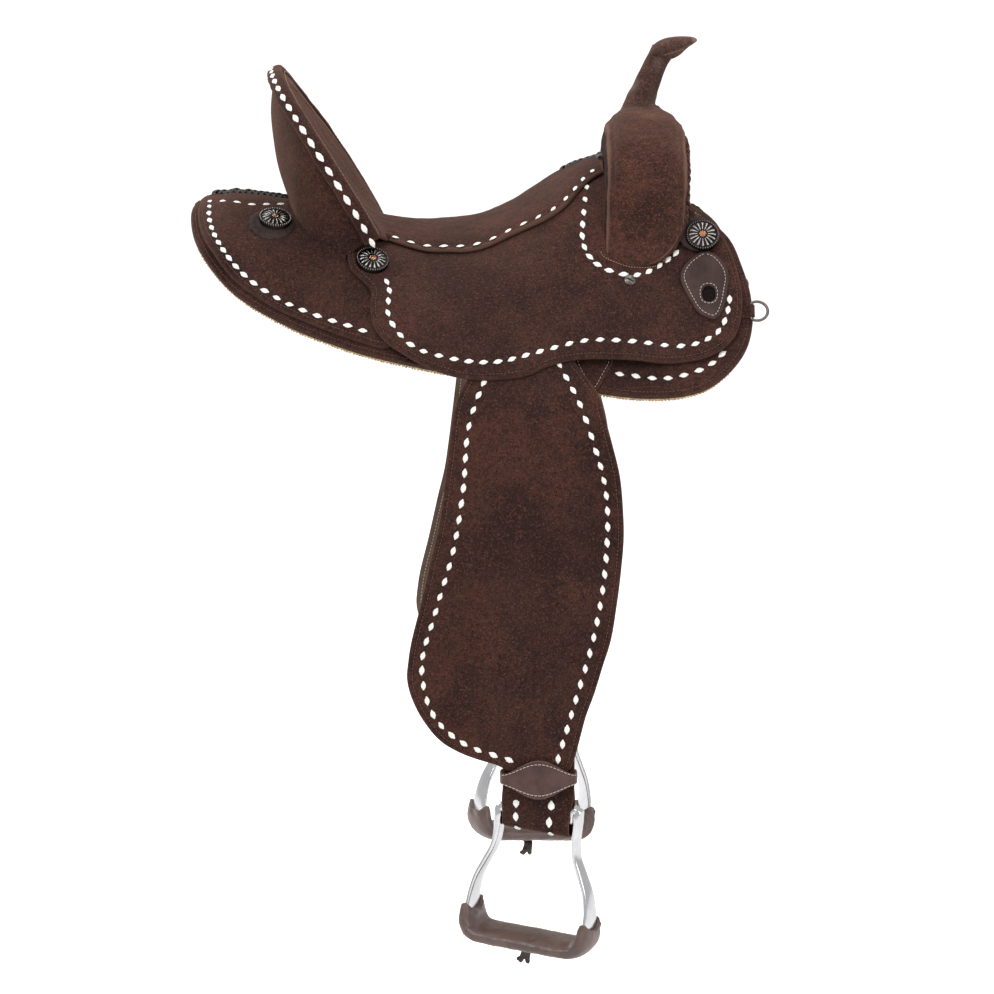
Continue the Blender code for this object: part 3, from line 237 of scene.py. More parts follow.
# Shading
class Shader:
    """A material's nodes, made one after another."""

    def __init__(self, name):
        self.material = bpy.data.materials.new(name)
        self.material.use_nodes = True
        self.tree = self.material.node_tree
        self.surface = self.tree.nodes["Principled BSDF"]
        self.place = self.node("ShaderNodeTexCoord").outputs["Object"]

    def node(self, kind, inputs=(), **settings):
        made = self.tree.nodes.new(kind)
        for key, value in settings.items():
            setattr(made, key, value)
        for key, value in dict(inputs).items():
            self.put(made.inputs[key], value)
        return made

    def put(self, socket, value):
        if isinstance(value, bpy.types.NodeSocket):
            self.tree.links.new(value, socket)
        elif isinstance(value, tuple) and len(value) == 3 and socket.type == "RGBA":
            socket.default_value = (*value, 1)
        else:
            socket.default_value = value

    def noise(self, scale, detail=2.0, rough=0.5, stretch=None):
        place = self.place
        if stretch:
            place = self.node("ShaderNodeMapping", {"Vector": place, "Scale": stretch}).outputs[0]
        made = self.node(
            "ShaderNodeTexNoise", {"Vector": place, "Scale": scale, "Detail": detail, "Roughness": rough}
        )
        return made.outputs["Fac"]

    def cells(self, scale, feature="F1"):
        made = self.node("ShaderNodeTexVoronoi", {"Vector": self.place, "Scale": scale}, feature=feature)
        return made.outputs["Distance"]

    def span(self, value, low, high, to_low=0.0, to_high=1.0):
        """The value's low to high, stretched over two new ends and held there."""
        made = self.node(
            "ShaderNodeMapRange",
            {"Value": value, "From Min": low, "From Max": high, "To Min": to_low, "To Max": to_high},
            interpolation_type="SMOOTHSTEP",
        )
        return made.outputs["Result"]

    def sum(self, *terms):
        """Adds up (value, weight) pairs."""
        total = 0.0
        for value, weight in terms:
            total = self.node(
                "ShaderNodeMath", {0: value, 1: weight, 2: total}, operation="MULTIPLY_ADD"
            ).outputs[0]
        return total

    def mix(self, share, first, second):
        made = self.node("ShaderNodeMix", data_type="RGBA")
        self.put(made.inputs["Factor"], share)
        self.put(made.inputs[6], first)
        self.put(made.inputs[7], second)
        return made.outputs[2]

    def attribute(self, name):
        return self.node("ShaderNodeAttribute", attribute_name=name).outputs["Fac"]

    def bump(self, height, distance, strength=1.0):
        made = self.node(
            "ShaderNodeBump", {"Height": height, "Distance": distance, "Strength": strength}
        )
        self.put(self.surface.inputs["Normal"], made.outputs[0])

    def set(self, **values):
        for key, value in values.items():
            self.put(self.surface.inputs[key.replace("_", " ").title().replace("Ior", "IOR")], value)
        return self.material


def suede(name, deep, mid, warm, edge, sheen=0.16):
    """Rough-out leather: a mottled nap with dark flecks, paler along its edges from rubbing and from painted
    sheen.
    """
    s = Shader(name)
    broad = s.noise(17, 3, 0.55)
    blots = s.noise(62, 4, 0.6)
    fibre = s.noise(420, 3, 0.7)
    nap = s.noise(1300, 2, 0.6)
    colour = s.mix(s.span(s.sum((broad, 0.65), (blots, 0.35)), 0.38, 0.62), deep, mid)
    colour = s.mix(s.span(s.sum((s.noise(9, 2), 0.6), (blots, 0.4)), 0.50, 0.66, 0, 0.75), colour, warm)
    colour = s.mix(s.span(s.noise(190, 4, 0.65), 0.44, 0.62, 0, 0.55), colour, tuple(0.72 * c for c in deep))
    colour = s.mix(s.span(fibre, 0.50, 0.70, 0, 0.75), colour, tuple(1.75 * c for c in warm))
    colour = s.mix(s.span(s.noise(760, 1, 0.5), 0.56, 0.70, 0, 0.85), colour, tuple(0.22 * c for c in deep))
    # Paler edges: partly rubbing, partly painted sheen where the suede's rounded edges turn away
    paler_edges = s.sum((s.attribute("worn"), 0.75), (fibre, 0.25))
    colour = s.mix(s.span(paler_edges, 0.30, 0.85, 0, 0.8), colour, edge)
    s.bump(s.sum((nap, 0.5), (fibre, 0.8), (blots, 0.35)), 0.0011, 0.75)
    return s.set(
        base_color=colour, roughness=s.span(blots, 0.3, 0.7, 0.82, 0.98), sheen_weight=sheen,
        sheen_roughness=0.45, sheen_tint=(1.0, 0.56, 0.40), specular_ior_level=0.12,
    )


def leather(name, deep, pale, rough=0.42, grain=1400, shine=0.5):
    """Smooth leather: fine grain, soft uneven shine and paler rubbed edges."""
    s = Shader(name)
    broad = s.noise(40, 4, 0.6)
    pores = s.cells(grain)
    scuffs = s.noise(260, 5, 0.7, (1, 1, 0.25))
    colour = s.mix(s.span(s.sum((broad, 0.7), (scuffs, 0.3)), 0.35, 0.68), deep, pale)
    colour = s.mix(s.span(pores, 0.0, 0.35, 0.45, 0), colour, tuple(0.5 * c for c in deep))
    paler_edges = s.sum((s.attribute("worn"), 0.7), (scuffs, 0.4))
    colour = s.mix(s.span(paler_edges, 0.45, 0.95, 0, 0.7), colour, tuple(1.7 * c for c in pale))
    s.bump(s.sum((pores, 0.5), (scuffs, 0.5), (s.noise(120, 3), 0.6)), 0.0005, 0.5)
    return s.set(
        base_color=colour, roughness=s.span(scuffs, 0.3, 0.7, rough - 0.08, rough + 0.14),
        sheen_weight=0.16 * shine, sheen_tint=(1.0, 0.7, 0.5), specular_ior_level=shine,
    )


def lace(name, dark, pale, rough=0.45):
    """Narrow cut lace, darker where its worn value is high, as at the ends of the stitches."""
    s = Shader(name)
    colour = s.mix(s.span(s.noise(500, 4, 0.6), 0.35, 0.65), dark, pale)
    colour = s.mix(s.span(s.attribute("worn"), 0.35, 1.0, 0, 0.85), colour, tuple(0.28 * c for c in dark))
    s.bump(s.sum((s.noise(1500, 3), 0.6), (s.noise(300, 2, 0.5, (1, 1, 0.3)), 0.8)), 0.0004, 0.6)
    return s.set(base_color=colour, roughness=rough)


def fleece_wool(name):
    s = Shader(name)
    tufts = s.cells(210)
    strands = s.noise(900, 3, 0.7)
    colour = s.mix(s.span(s.noise(34, 3), 0.35, 0.65), (0.74, 0.50, 0.22), (0.86, 0.70, 0.42))
    colour = s.mix(s.span(tufts, 0.35, 0.75, 0, 0.6), colour, (0.34, 0.20, 0.08))
    s.bump(s.sum((tufts, -1.0), (strands, 0.5)), 0.0030, 0.9)
    return s.set(
        base_color=colour, roughness=0.95, sheen_weight=0.6, sheen_roughness=0.5,
        sheen_tint=(1.0, 0.85, 0.6), subsurface_weight=0.12, subsurface_scale=0.004,
    )


def metal(name, bright, patina, rough, brushed=None, bump=0.0003):
    """Metal with a patina where the "worn" value is high, and fine wear in its shine."""
    s = Shader(name)
    marks = s.noise(700, 4, 0.7, brushed)
    clouds = s.noise(60, 4, 0.6)
    colour = s.mix(s.span(s.sum((clouds, 0.5), (marks, 0.5)), 0.35, 0.7, 0, 0.35), bright, patina)
    colour = s.mix(s.span(s.attribute("worn"), 0.25, 0.85), colour, patina)
    s.bump(s.sum((marks, 0.6), (clouds, 0.6)), bump, 0.5)
    return s.set(
        base_color=colour, metallic=1.0, roughness=s.span(marks, 0.3, 0.75, rough * 0.75, rough * 1.5)
    )


def rawhide(name):
    """The tree: wood under dark stained rawhide."""
    s = Shader(name)
    grain = s.noise(90, 5, 0.6, (0.12, 1, 1))
    colour = s.mix(s.span(grain, 0.35, 0.65), (0.085, 0.047, 0.030), (0.150, 0.088, 0.054))
    colour = s.mix(s.span(s.noise(26, 3), 0.5, 0.7, 0, 0.6), colour, (0.055, 0.031, 0.021))
    s.bump(s.sum((grain, 1.0), (s.noise(300, 3), 0.4)), 0.0008, 0.6)
    return s.set(base_color=colour, roughness=0.55)


def thread(name, colour):
    s = Shader(name)
    wave = s.node("ShaderNodeTexWave", {"Vector": s.place, "Scale": 900.0, "Distortion": 1.5})
    twist = wave.outputs["Fac"]
    shade = s.mix(s.span(twist, 0.2, 0.8), tuple(0.55 * c for c in colour), colour)
    s.bump(twist, 0.0002, 0.6)
    return s.set(base_color=shade, roughness=0.6)


# Each suede's last colour is its paler edge colour, which paints rubbing and sheen along edges
SUEDE = suede(
    "suede", (0.0240, 0.0112, 0.0095), (0.050, 0.0215, 0.0170),
    (0.066, 0.0255, 0.0185), (0.105, 0.055, 0.040),
)
SWELL_SUEDE = suede(
    "swell_suede", (0.032, 0.0145, 0.0115), (0.064, 0.0275, 0.0205),
    (0.084, 0.0330, 0.0225), (0.140, 0.078, 0.056),
)
HORN_SUEDE = suede(
    "horn_suede", (0.044, 0.0230, 0.0195), (0.078, 0.0405, 0.0335),
    (0.090, 0.0450, 0.0360), (0.170, 0.125, 0.105),
)
EDGE_SUEDE = suede(
    "edge_suede", (0.0170, 0.0085, 0.0072), (0.036, 0.0165, 0.0130),
    (0.050, 0.0210, 0.0155), (0.080, 0.042, 0.031),
)
# Painted shade under the latigo keeper's slot
SLOT_SHADE_SUEDE = suede(
    "slot_shade_suede", (0.0060, 0.0036, 0.0032), (0.011, 0.0058, 0.0048),
    (0.014, 0.0070, 0.0055), (0.020, 0.011, 0.009), 0.02,
)
SHADED_SUEDE = suede(
    "shaded_suede", (0.0090, 0.0048, 0.0042), (0.018, 0.0085, 0.0070),
    (0.024, 0.0105, 0.0080), (0.040, 0.021, 0.016), 0.05,
)
BROWN = leather("brown_leather", (0.044, 0.0220, 0.0190), (0.090, 0.0450, 0.0390), shine=0.3)
KEEPER_BROWN = leather("keeper_leather", (0.025, 0.0125, 0.0112), (0.060, 0.0305, 0.0270), 0.55, shine=0.2)
TREAD_BROWN = leather("tread_leather", (0.058, 0.0320, 0.0270), (0.110, 0.0600, 0.0510), 0.36, 900, shine=0.7)
KNOT_LACE = lace("knot_lace", (0.026, 0.0165, 0.0145), (0.058, 0.0370, 0.0320), 0.6)
BACKING = leather("backing_leather", (0.018, 0.0105, 0.0095), (0.038, 0.0215, 0.0190), 0.6, shine=0.16)
FLESH = leather("flesh_side", (0.060, 0.0340, 0.0230), (0.120, 0.0720, 0.0480), 0.75)
WHITE_LACE = lace("white_lace", (0.74, 0.71, 0.66), (0.90, 0.88, 0.84))
BLACK_LACE = lace("black_lace", (0.010, 0.0075, 0.0065), (0.034, 0.0250, 0.0210), 0.5)
# Painted shade: the near-black lace laid under each stitch where its slit would be
SLIT_SHADE = lace("slit_shade", (0.004, 0.003, 0.003), (0.010, 0.007, 0.006), 0.8)
TAN_THREAD = thread("tan_thread", (0.42, 0.27, 0.16))
BROWN_THREAD = thread("brown_thread", (0.17, 0.085, 0.055))
PALE_THREAD = thread("pale_thread", (0.72, 0.64, 0.54))
WOOL = fleece_wool("fleece")
ALUMINIUM = metal("aluminium", (0.70, 0.70, 0.715), (0.36, 0.36, 0.38), 0.16, (1, 1, 0.2), 0.00012)
SILVER = metal("silver", (0.44, 0.41, 0.385), (0.018, 0.0145, 0.0135), 0.32)
COPPER = metal("copper", (0.50, 0.23, 0.12), (0.10, 0.040, 0.022), 0.30)
STEEL = metal("steel", (0.17, 0.155, 0.145), (0.040, 0.036, 0.034), 0.36)
TREE = rawhide("rawhide_tree")
CUT_LEATHER = [SUEDE, FLESH, EDGE_SUEDE]


# Meshes
class Solid:
    """Points and faces of one piece, with a material number and a wear value."""

    def __init__(self):
        self.points, self.faces, self.kinds, self.worn, self.count = [], [], [], [], 0

    def add(self, points, faces, kind=0, worn=0.0):
        points = np.asarray(points, float).reshape(-1, 3)
        self.faces += [[int(k) + self.count for k in face] for face in faces]
        self.kinds += [kind] * len(faces)
        self.points.append(points)
        worn = np.asarray(worn, float).reshape(-1)
        fits = len(worn) in (1, len(points))
        self.worn.append(np.broadcast_to(worn, len(points)) if fits else np.zeros(len(points)))
        self.count += len(points)
        return self


def piece(name, solid, materials, body, side=1, replaces=(), angle=40):
    """Turns a Solid into an object that rides on a body and stands for CAD nodes."""
    points = np.vstack(solid.points) * [1, side, 1]
    faces = [face[::-1] for face in solid.faces] if side < 0 else solid.faces
    mesh = bpy.data.meshes.new(name)
    mesh.from_pydata(points.tolist(), [], faces)
    mesh.polygons.foreach_set("material_index", solid.kinds)
    mesh.polygons.foreach_set("use_smooth", [True] * len(faces))
    mesh.attributes.new("worn", "FLOAT", "POINT").data.foreach_set("value", np.concatenate(solid.worn))
    mesh.set_sharp_from_angle(angle=math.radians(angle))
    for material in materials if isinstance(materials, (list, tuple)) else [materials]:
        mesh.materials.append(material)
    obj = bpy.data.objects.new(name, mesh)
    bpy.context.scene.collection.objects.link(obj)
    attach(obj, body)
    if replaces:
        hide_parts(*replaces)
    return obj


def quads(rows, columns, wrap=False):
    i, j = np.meshgrid(np.arange(rows - 1), np.arange(columns if wrap else columns - 1), indexing="ij")
    k = (j + 1) % columns
    corners = [i * columns + j, i * columns + k, (i + 1) * columns + k, (i + 1) * columns + j]
    return np.stack(corners, -1).reshape(-1, 4).tolist()


def shell(solid, over, under, kinds=(0, 0, 0), worn=0.0):
    """Closed sheet between two grids. kinds are the materials of its top, underside and edge."""
    rows, columns = over.shape[:2]
    count = rows * columns
    border = list(range(columns)) + [i * columns + columns - 1 for i in range(1, rows)]
    border += [(rows - 1) * columns + j for j in range(columns - 2, -1, -1)]
    border += [i * columns for i in range(rows - 2, 0, -1)]
    faces = quads(rows, columns)
    turned_round = np.cross(over[1, 0] - over[0, 0], over[0, 1] - over[0, 0]) @ (over[0, 0] - under[0, 0]) > 0
    if turned_round:
        faces = [face[::-1] for face in faces]
    below = [[count + k for k in face[::-1]] for face in faces]
    edge = [(b, a, count + a, count + b) for a, b in zip(border, border[1:] + border[:1])]
    if turned_round:
        edge = [face[::-1] for face in edge]
    points = np.vstack([over.reshape(-1, 3), under.reshape(-1, 3)])
    worn = np.concatenate([np.broadcast_to(worn, (rows, columns)).ravel()] * 2)
    solid.add(points, faces, kinds[0], worn)
    solid.faces += [[k + solid.count - len(points) for k in face] for face in below + edge]
    solid.kinds += [kinds[1]] * len(below) + [kinds[2]] * len(edge)
    return solid


def loft(solid, rings, kind=0, worn=0.0, closed=False):
    rings = np.array(rings)
    rows, columns = rings.shape[:2]
    faces = quads(rows, columns, wrap=True)
    if closed:
        last = (rows - 1) * columns
        faces += [(last + j, last + (j + 1) % columns, (j + 1) % columns, j) for j in range(columns)]
    else:
        faces += [tuple(range(columns - 1, -1, -1)), tuple((rows - 1) * columns + j for j in range(columns))]
    centre = rings.mean(1)
    out = rings[rows // 2, 0] - centre[rows // 2]
    a = rings[rows // 2, 1] - rings[rows // 2, 0]
    b = rings[min(rows // 2 + 1, rows - 1), 0] - rings[rows // 2 - 1, 0]
    if np.cross(a, b) @ out < 0:
        faces = [face[::-1] for face in faces]
    worn = np.broadcast_to(worn, (rows, columns)) if np.ndim(worn) < 2 else worn
    return solid.add(rings.reshape(-1, 3), faces, kind, np.array(worn).ravel())


def sleeve(solid, outer, inner, kinds=(0, 0), worn=0.0):
    """Tube wall between two lofts, open at both ends."""
    outer, inner = np.array(outer), np.array(inner)
    rows, columns = outer.shape[:2]
    count = rows * columns
    faces = quads(rows, columns, wrap=True)
    out = outer[rows // 2, 0] - outer[rows // 2].mean(0)
    a, b = outer[rows // 2, 1] - outer[rows // 2, 0], outer[rows // 2 + 1, 0] - outer[rows // 2 - 1, 0]
    flip = np.cross(a, b) @ out < 0
    if flip:
        faces = [face[::-1] for face in faces]
    inward = [[count + k for k in face[::-1]] for face in faces]
    last = (rows - 1) * columns
    ends = []
    for j in range(columns):
        k = (j + 1) % columns
        ends.append((k, j, count + j, count + k))
        ends.append((last + j, last + k, count + last + k, count + last + j))
    if flip:
        ends = [face[::-1] for face in ends]
    worn = np.concatenate([np.broadcast_to(worn, (rows, columns)).ravel()] * 2)
    solid.add(np.vstack([outer.reshape(-1, 3), inner.reshape(-1, 3)]), faces, kinds[0], worn)
    solid.faces += [[k + solid.count - 2 * count for k in face] for face in inward + ends]
    solid.kinds += [kinds[1]] * len(inward) + [kinds[0]] * len(ends)
    return solid


def rings_along(path, across, wide, thick, sides=8, power=2.0, closed=False):
    """Rings of an oval section: wide along across, thick square to it and to the path."""
    path = np.array(path, float)
    ahead = tangents(path, closed)
    across = np.broadcast_to(np.array(across, float), path.shape)
    across = unit(across - (across * ahead).sum(-1, keepdims=True) * ahead)
    up = np.cross(ahead, across)
    wide = np.broadcast_to(wide, len(path))
    thick = np.broadcast_to(thick, len(path))
    angle = np.arange(sides) * 2 * math.pi / sides + math.pi / sides
    c = np.sign(np.cos(angle)) * np.abs(np.cos(angle)) ** (2 / power)
    s = np.sign(np.sin(angle)) * np.abs(np.sin(angle)) ** (2 / power)
    return (
        path[:, None]
        + across[:, None] * (wide[:, None] * c)[..., None]
        + up[:, None] * (thick[:, None] * s)[..., None]
    )


def tube(solid, path, radius, across=(0, 0, 1), flat=1.0, sides=6):
    """Lace or thread along a path, with closed rounded ends."""
    path = np.array(path, float)
    share = np.linspace(-1, 1, len(path))
    taper = np.sqrt(np.clip(1 - np.abs(share) ** 8, 0.05, 1))
    rings = rings_along(path, across, radius * taper, radius * flat * taper, sides)
    return loft(solid, rings)


def inside(polygon, points):
    found = np.zeros(len(points), bool)
    for (x0, y0), (x1, y1) in zip(polygon, np.roll(polygon, -1, axis=0)):
        if y0 == y1:
            continue
        crosses = (y0 > points[:, 1]) != (y1 > points[:, 1])
        found ^= crosses & (points[:, 0] < (x1 - x0) * (points[:, 1] - y0) / (y1 - y0) + x0)
    return found


def distance_to(polygon, points):
    starts = polygon[None]
    along = np.roll(polygon, -1, axis=0)[None] - starts
    nearest = []
    for some in np.array_split(points, max(1, len(points) // 2000)):
        t = ((some[:, None] - starts) * along).sum(-1) / (along**2).sum(-1)
        off = starts + np.clip(t, 0, 1)[..., None] * along - some[:, None]
        nearest.append(np.sqrt((off**2).sum(-1).min(1)))
    return np.concatenate(nearest)


def shrunk(outline, by):
    outline = np.array(outline)
    ahead = np.roll(outline, -1, axis=0) - np.roll(outline, 1, axis=0)
    inward = unit(np.stack([-ahead[:, 1], ahead[:, 0]], -1))
    area = (outline[:, 0] * np.roll(outline[:, 1], -1) - outline[:, 1] * np.roll(outline[:, 0], -1)).sum()
    return outline + inward * by * (1 if area > 0 else -1)


def clear_of_ridge(outline, gap=0.0004):
    outline = np.array(outline)
    outline[:, 1] = np.maximum(outline[:, 1], ridge_u(outline[:, 0]) + gap)
    return outline


SETTLE_REACH = 0.0065
EDGE_LOOPS = (0.0004, 0.0010, 0.0018, 0.0028, 0.0042, 0.0050, 0.0058, 0.0075)


def cut_sheet(outline, holes=(), cell=0.0048, loops=EDGE_LOOPS):
    """Triangles of a flat sheet, fine along its edge: points, triangles and distance from the edge."""
    edges_of = [np.array(outline)] + [np.array(hole) for hole in holes]
    low, high = edges_of[0].min(0), edges_of[0].max(0)
    rows = np.arange(low[1], high[1] + cell, cell * 0.866)
    columns = np.arange(low[0] - cell, high[0] + cell, cell)
    lattice = np.array([(x + 0.5 * (r % 2) * cell, u) for r, u in enumerate(rows) for x in columns])

    def distances(points):
        return np.min([distance_to(loop, points) for loop in edges_of], axis=0)

    keep = inside(edges_of[0], lattice)
    for hole in edges_of[1:]:
        keep &= ~inside(hole, lattice)
    lattice = lattice[keep]
    lattice = lattice[distances(lattice) > loops[-1] + 0.35 * cell]
    points = [lattice]
    for loop_index, loop in enumerate(edges_of):
        for by in loops:
            ring = shrunk(loop, by if loop_index == 0 else -by)
            points.append(ring[distances(ring) > by - 0.00015])
    points = np.vstack(points)
    edges, count = [], len(points)
    for loop in edges_of:
        edges += [(count + i, count + (i + 1) % len(loop)) for i in range(len(loop))]
        count += len(loop)
    points = np.vstack([points] + edges_of)
    found, _, triangles, *_ = delaunay_2d_cdt([Vector(p) for p in points], edges, [], 0, 1e-7)
    found = np.array([tuple(v) for v in found])
    triangles = np.array([tuple(t) for t in triangles])
    centres = found[triangles].mean(1)
    keep = inside(edges_of[0], centres)
    for hole in edges_of[1:]:
        keep &= ~inside(hole, centres)
    triangles = triangles[keep]
    used = np.unique(triangles)
    renumber = np.zeros(len(found), int)
    renumber[used] = np.arange(len(used))
    return found[used], renumber[triangles], distances(found[used])


def plate(solid, sheet, surface, low, high, round_over=0.0022, crease=0.0, kinds=(0, 0, 0), settle=0.0):
    """Leather of one cut, with rounded upper edges, a pressed line along them and a settled border."""
    flat, triangles, from_edge = sheet
    x, u = flat.T
    bottom = low(x, u) if callable(low) else np.full(len(x), low)
    top = high(x, u) if callable(high) else np.full(len(x), high)
    sunk = settle * np.exp(-((from_edge / SETTLE_REACH) ** 2))
    bottom, top = bottom - sunk, top - sunk
    share = np.clip(1 - from_edge / round_over, 0, 1)
    fall = np.minimum(0.62 * (top - bottom), round_over) * (1 - np.sqrt(1 - share**2))
    top = top - fall - crease * np.exp(-(((from_edge - 0.0050) / 0.0007) ** 2))
    over, under = surface(x, u, top), surface(x, u, bottom)
    count = len(flat)
    upper = triangles.tolist()
    a, b, c = over[triangles[0]]
    if np.cross(b - a, c - a) @ (over[triangles[0][0]] - under[triangles[0][0]]) < 0:
        upper = [t[::-1] for t in upper]
    lower = [[count + k for k in t[::-1]] for t in upper]
    # Band along the cut's edge; on suede it makes the edge paler, partly rubbing and partly painted sheen.
    worn = 0.5 * np.exp(-((from_edge / 0.0030) ** 2))
    solid.add(np.vstack([over, under]), upper, kinds[0], np.concatenate([worn, worn * 0.4]))
    base = solid.count - 2 * count
    directed = {(a, b) for t in upper for a, b in zip(t, t[1:] + t[:1])}
    edge = [(b, a, count + a, count + b) for a, b in directed if (b, a) not in directed]
    solid.faces += [[k + base for k in face] for face in lower + edge]
    solid.kinds += [kinds[1]] * len(lower) + [kinds[2]] * len(edge)
    return solid


def lay(surface, height, line, lift=0.0):
    """Places, directions ahead and outward normals along a line drawn in a surface's own (x, u)."""
    line = np.array(line, float)
    ahead = unit(np.gradient(line, axis=0))
    aside = np.stack([-ahead[:, 1], ahead[:, 0]], -1)

    def at(points, more=0.0):
        return surface(points[:, 0], points[:, 1], height(points[:, 0], points[:, 1]) + more)

    step = 0.002
    forward = unit(at(line + ahead * step) - at(line - ahead * step))
    sideways = at(line + aside * step) - at(line - aside * step)
    normal = unit(np.cross(forward, sideways))
    normal *= np.sign(((at(line, 0.001) - at(line)) * normal).sum(-1, keepdims=True))
    return at(line) + normal * lift, forward, normal


STITCH_LONG, STITCH_WIDE, STITCH_HIGH = 0.0110, 0.0052, 0.0016
SLIT_MORE, SLIT_HIGH = 0.0024, 0.00042


def buck_stitches(solid, spots, size=1.0, lean=-10, plump=1.0, seed=1):
    """White lace stitches, pointed lozenges that lean off their line, pulled down into slits of painted
    shade.
    """
    chance = np.random.default_rng(seed)
    along, across = np.linspace(-1, 1, 15), np.linspace(-1, 1, 7)
    s, v = np.meshgrid(along, across, indexing="ij")
    width = np.clip((1.05 - np.abs(s)) / 0.78, 0, 1)
    crown = (1 - np.abs(s) ** 3) * np.sqrt(np.clip(1 - (0.9 * v) ** 2, 0, 1))
    # Value at the stitch ends, where the lace shader makes the lace darker
    worn = np.clip((np.abs(s) - 0.72) / 0.28, 0, 1) ** 2
    faces = [face[::-1] for face in quads(len(along), len(across))]
    for centre, ahead, normal in zip(*spots):
        turn = math.radians(lean + 3 * chance.normal())
        aside = np.cross(normal, ahead)
        forward = ahead * math.cos(turn) + aside * math.sin(turn)
        sideways = aside * math.cos(turn) - ahead * math.sin(turn)
        grow = size * (1 + 0.04 * chance.normal())
        long, wide = STITCH_LONG * grow, STITCH_WIDE * grow * plump
        # The wider, lower lozenge is painted shade for the slit; the upper one is the lace.
        for more, high, kind in ((SLIT_MORE, SLIT_HIGH, 1), (0.0, STITCH_HIGH, 0)):
            run, off = s * (long + more) / 2, v * width * (wide + more / 2) / 2
            rise = high * crown - 0.00025
            grid = centre + forward * run[..., None] + sideways * off[..., None] + normal * rise[..., None]
            solid.add(grid, faces, kind, worn.ravel())
    return solid


def thread_stitches(solid, places, normals, long=0.0030, gap=0.0011, radius=0.00042):
    """Fine machine stitches along a line of closely spaced places."""
    length = np.concatenate([[0], np.cumsum(np.linalg.norm(np.diff(places, axis=0), axis=1))])
    for start in np.arange(0, length[-1] - long, long + gap):
        at = start + np.linspace(0, long, 6)
        rise = radius * np.array([-1.1, 0.5, 0.9, 0.9, 0.5, -1.1])
        path = np.stack([np.interp(at, length, places[:, k]) for k in range(3)], -1)
        up = unit(np.stack([np.interp(at, length, normals[:, k]) for k in range(3)], -1))
        path = path + up * rise[:, None]
        tube(solid, path, radius, up, 0.8, 5)
    return solid


def whip(solid, path, out, half_wide, high, pitch, radius, reach, lean, seed=3):
    """Lace wound over an edge in two layers that cross."""
    chance = np.random.default_rng(seed)
    count = round(np.linalg.norm(np.diff(path, axis=0), axis=1).sum() / pitch)
    path, ahead, out = spots_along(path, out, count)
    across = unit(np.cross(ahead, out))
    up = np.cross(across, ahead)
    angle = np.linspace(-reach, reach, 9)[:, None]
    for way, grow in ((1, 0.94), (-1, 1.06)):
        for i in range(len(path)):
            tall = grow * (1 + 0.10 * chance.normal())
            loop = path[i] + across[i] * half_wide * grow * np.sin(angle)
            loop = loop + up[i] * high * tall * np.cos(angle)
            loop = loop + ahead[i] * (way * lean * pitch * angle / reach + 0.25 * pitch * way)
            tube(solid, loop, radius, ahead[i], 0.6, 6)
    return solid


def uneven(high, size=0.055, amount=0.00045, seed=5):
    """The height function with the slow unevenness of real leather."""

    def height(x, u):
        base = high(x, u) if callable(high) else high
        x, u = np.broadcast_arrays(np.asarray(x, float), np.asarray(u, float))
        flat = np.stack([x, u, 0 * x], -1)
        return base + amount * wander(flat, size, seed) + 0.3 * amount * wander(flat, size / 4, seed + 1)

    return height


def disc(solid, centre, normal, radii, height, around=96, kind_of=None, worn_of=None):
    """Turned and chased disc. height, kind_of and worn_of take (radius, angle) grids."""
    normal = unit(normal)
    first = unit(np.cross(normal, [0, 0, 1.0]))
    second = np.cross(normal, first)
    angle = np.arange(around) * 2 * math.pi / around
    r, a = np.meshgrid(radii, angle, indexing="ij")
    rise = height(r, a)
    grid = centre + first * (r * np.cos(a))[..., None] + second * (r * np.sin(a))[..., None]
    grid = grid + normal * rise[..., None]
    faces = quads(len(radii), around, wrap=True)
    centres = 0.5 * (radii[:-1] + radii[1:])
    worn = worn_of(r, a).ravel() if worn_of else 0.0
    start = len(solid.kinds)
    solid.add(grid, faces, 0, worn)
    if kind_of:
        kinds = np.repeat([kind_of(c) for c in centres], around).tolist()
        solid.kinds[start:] = kinds
    cap = [list(range(around))[::-1]]
    solid.faces += [[k + solid.count - len(radii) * around for k in face] for face in cap]
    solid.kinds.append(kind_of(0.0) if kind_of else 0)
    return solid


# Cut outlines in (x, u), as in part.py but with the front and rear corners where the photo has them
SKIRT_OUTLINE = (
    (-0.213, -0.164), (-0.255, -0.166), (-0.306, -0.169), (-0.3135, -0.136), (-0.314, -0.102),
    (-0.310, -0.070), (-0.304, -0.048), (-0.295, -0.028), (-0.282, -0.006), (-0.265, 0.015),
    (-0.243, 0.033), (-0.216, 0.050), (-0.188, 0.065), (-0.155, 0.079), (-0.123, 0.091),
    (-0.080, 0.103), (-0.030, 0.114), (0.020, 0.121), (0.080, 0.131), (0.136, 0.139),
    (0.162, 0.143), (0.189, 0.145), (0.222, 0.143), (0.249, 0.135), (0.270, 0.120),
    (0.287, 0.100), (0.297, 0.080), (0.302, 0.057), (0.302, 0.034), (0.299, 0.010),
    (0.291, -0.019), (0.283, -0.042), (0.272, -0.058), (0.257, -0.071), (0.240, -0.083),
    (0.205, -0.108), (0.150, -0.112), (0.070, -0.108), (-0.020, -0.108), (-0.100, -0.115),
    (-0.160, -0.135),
)
REAR_JOCKEY_OUTLINE = (
    (-0.206, -0.164), (-0.255, -0.166), (-0.301, -0.169), (-0.3065, -0.136), (-0.306, -0.102),
    (-0.302, -0.072), (-0.296, -0.051), (-0.287, -0.032), (-0.275, -0.011), (-0.259, 0.008),
    (-0.238, 0.025), (-0.212, 0.042), (-0.184, 0.056), (-0.152, 0.070), (-0.120, 0.082),
    (-0.094, 0.088), (-0.082, 0.070), (-0.084, 0.030), (-0.100, -0.010), (-0.118, -0.050),
    (-0.152, -0.098), (-0.185, -0.130),
)
